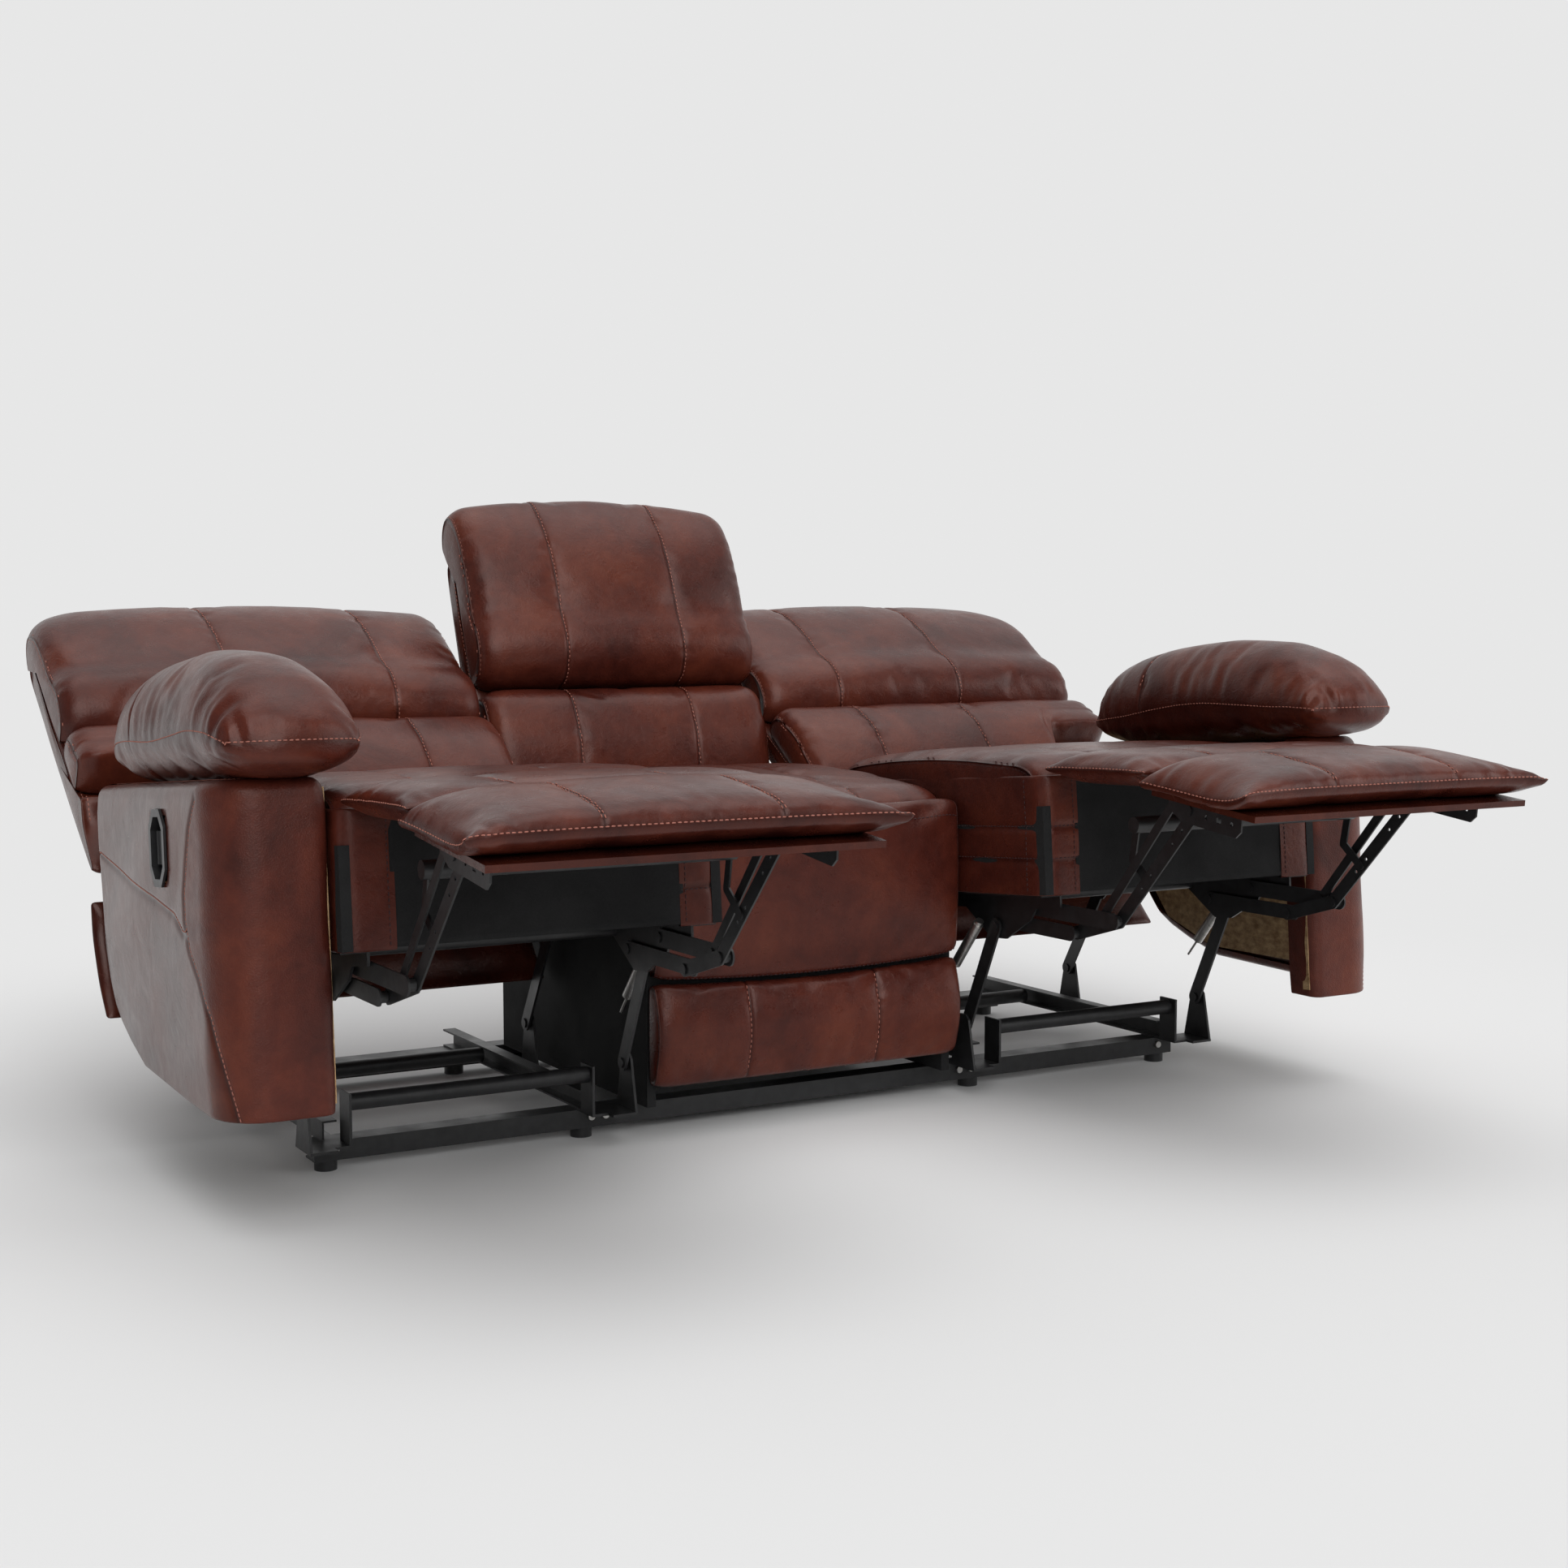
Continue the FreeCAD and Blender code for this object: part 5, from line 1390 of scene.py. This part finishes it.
# Hardware, camera and light
def dress_nodes():
    looks = {"base_rails": STEEL, "feet": PLASTIC, "rail_bolts": ZINC, "middle_seat_box": CLOTH}
    for tag in ("left_", "right_"):
        for name, mat in (("arm_frame", BOARD), ("handle_bezel", PLASTIC), ("handle_lever", PLASTIC),
                          ("seat_box", CLOTH),
                          ("mech_frame", STEEL), ("springs", ZINC), ("lower_front_links", STEEL),
                          ("lower_rear_links", STEEL),
                          ("long_links", STEEL), ("guide_links", STEEL), ("footrest_board", GLAZED),
                          ("footrest_brackets", STEEL),
                          ("back_frame", STEEL), ("front_swing_links", STEEL),
                          ("rear_swing_links", STEEL), ("mech_base", STEEL)):
            looks[tag + name] = mat
    for name, mat in looks.items():
        ob = bpy.data.objects.get(name)
        if ob is None:
            continue
        if not ob.material_slots:
            ob.data.materials.append(mat)
        for slot in ob.material_slots:
            slot.material = mat


def make_camera():
    cam = bpy.data.cameras.new("view")
    ob = bpy.data.objects.new("view", cam)
    scene.collection.objects.link(ob)
    ob.location = (-1.7419, -3.0711, 0.8027)
    ob.rotation_euler = (radians(90 - 4.518), radians(0.058), radians(-29.972))
    cam.sensor_width = 36.0
    cam.lens = 50.23
    cam.clip_end = 100
    scene.camera = ob
    scene.view_settings.view_transform = "Standard"


def make_world():
    w = bpy.data.worlds.new("studio")
    scene.world = w
    w.use_nodes = True
    t = w.node_tree
    t.nodes.clear()
    out = t.nodes.new("ShaderNodeOutputWorld")
    co = t.nodes.new("ShaderNodeTexCoord").outputs["Generated"]
    unit = t.nodes.new("ShaderNodeVectorMath")
    unit.operation = "NORMALIZE"
    t.links.new(co, unit.inputs[0])

    def toward(direction, low, high, start, end):
        d = Vector(direction).normalized()
        dot = t.nodes.new("ShaderNodeVectorMath")
        dot.operation = "DOT_PRODUCT"
        t.links.new(unit.outputs[0], dot.inputs[0])
        dot.inputs[1].default_value = d
        r = t.nodes.new("ShaderNodeMapRange")
        r.interpolation_type = "SMOOTHSTEP"
        t.links.new(dot.outputs["Value"], r.inputs["Value"])
        for key, value in (("From Min", low), ("From Max", high), ("To Min", start), ("To Max", end)):
            r.inputs[key].default_value = value
        return r.outputs[0]

    total = toward((0.5, 0.86, 0.12), -0.30, 0.55, 0.06, 0.72)
    for d, low, high, power in (((-0.15, -0.85, 0.55), 0.89, 0.93, 3.3),
                                ((0.80, -0.55, 0.30), 0.955, 0.975, 2.4),
                                ((0.1, -0.1, 1.0), 0.80, 0.90, 1.45),
                                ((-0.95, -0.1, 0.35), 0.93, 0.965, 0.35)):
        add = t.nodes.new("ShaderNodeMath")
        add.operation = "ADD"
        t.links.new(total, add.inputs[0])
        t.links.new(toward(d, low, high, 0.0, power), add.inputs[1])
        total = add.outputs[0]
    back, bright = t.nodes.new("ShaderNodeBackground"), t.nodes.new("ShaderNodeBackground")
    t.links.new(total, back.inputs["Strength"])
    back.inputs["Color"].default_value = (1, 1, 1, 1)
    bright.inputs["Color"].default_value = (0.80, 0.80, 0.80, 1)
    mix = t.nodes.new("ShaderNodeMixShader")
    t.links.new(t.nodes.new("ShaderNodeLightPath").outputs["Is Camera Ray"], mix.inputs[0])
    t.links.new(back.outputs[0], mix.inputs[1])
    t.links.new(bright.outputs[0], mix.inputs[2])
    t.links.new(mix.outputs[0], out.inputs[0])


def make_floor():
    me = bpy.data.meshes.new("floor")
    me.from_pydata([(-30, -12, 0), (30, -12, 0), (30, 40, 0), (-30, 40, 0)], [], [(0, 1, 2, 3)])
    ob = bpy.data.objects.new("floor", me)
    scene.collection.objects.link(ob)
    m, t, b = new_material("floor_pale")
    b.inputs["Base Color"].default_value = (FLOOR_TONE,) * 3 + (1,)
    b.inputs["Roughness"].default_value = 0.9
    b.inputs["Specular IOR Level"].default_value = 0.0
    glow = t.nodes.new("ShaderNodeEmission")
    glow.inputs["Color"].default_value = (0.80, 0.80, 0.80, 1)
    far = t.nodes.new("ShaderNodeVectorMath")
    far.operation = "LENGTH"
    t.links.new(t.nodes.new("ShaderNodeTexCoord").outputs["Object"], far.inputs[0])
    fade = t.nodes.new("ShaderNodeMapRange")
    fade.interpolation_type = "SMOOTHSTEP"
    fade.inputs["From Min"].default_value = 1.35
    fade.inputs["From Max"].default_value = 2.7
    t.links.new(far.outputs["Value"], fade.inputs["Value"])
    mix = t.nodes.new("ShaderNodeMixShader")
    t.links.new(fade.outputs[0], mix.inputs[0])
    t.links.new(b.outputs[0], mix.inputs[1])
    t.links.new(glow.outputs[0], mix.inputs[2])
    t.links.new(mix.outputs[0], next(n for n in t.nodes if n.type == "OUTPUT_MATERIAL").inputs[0])
    me.materials.append(m)


FLOOR_TONE = 0.73
make_camera()
make_world()
make_floor()
make_backs()
make_seats()
make_arm_pads()
make_footrests()
make_back_covers()
run_sims()
sew_all()
make_arms()
make_seat_sides()
make_middle_sides()
dress_nodes()
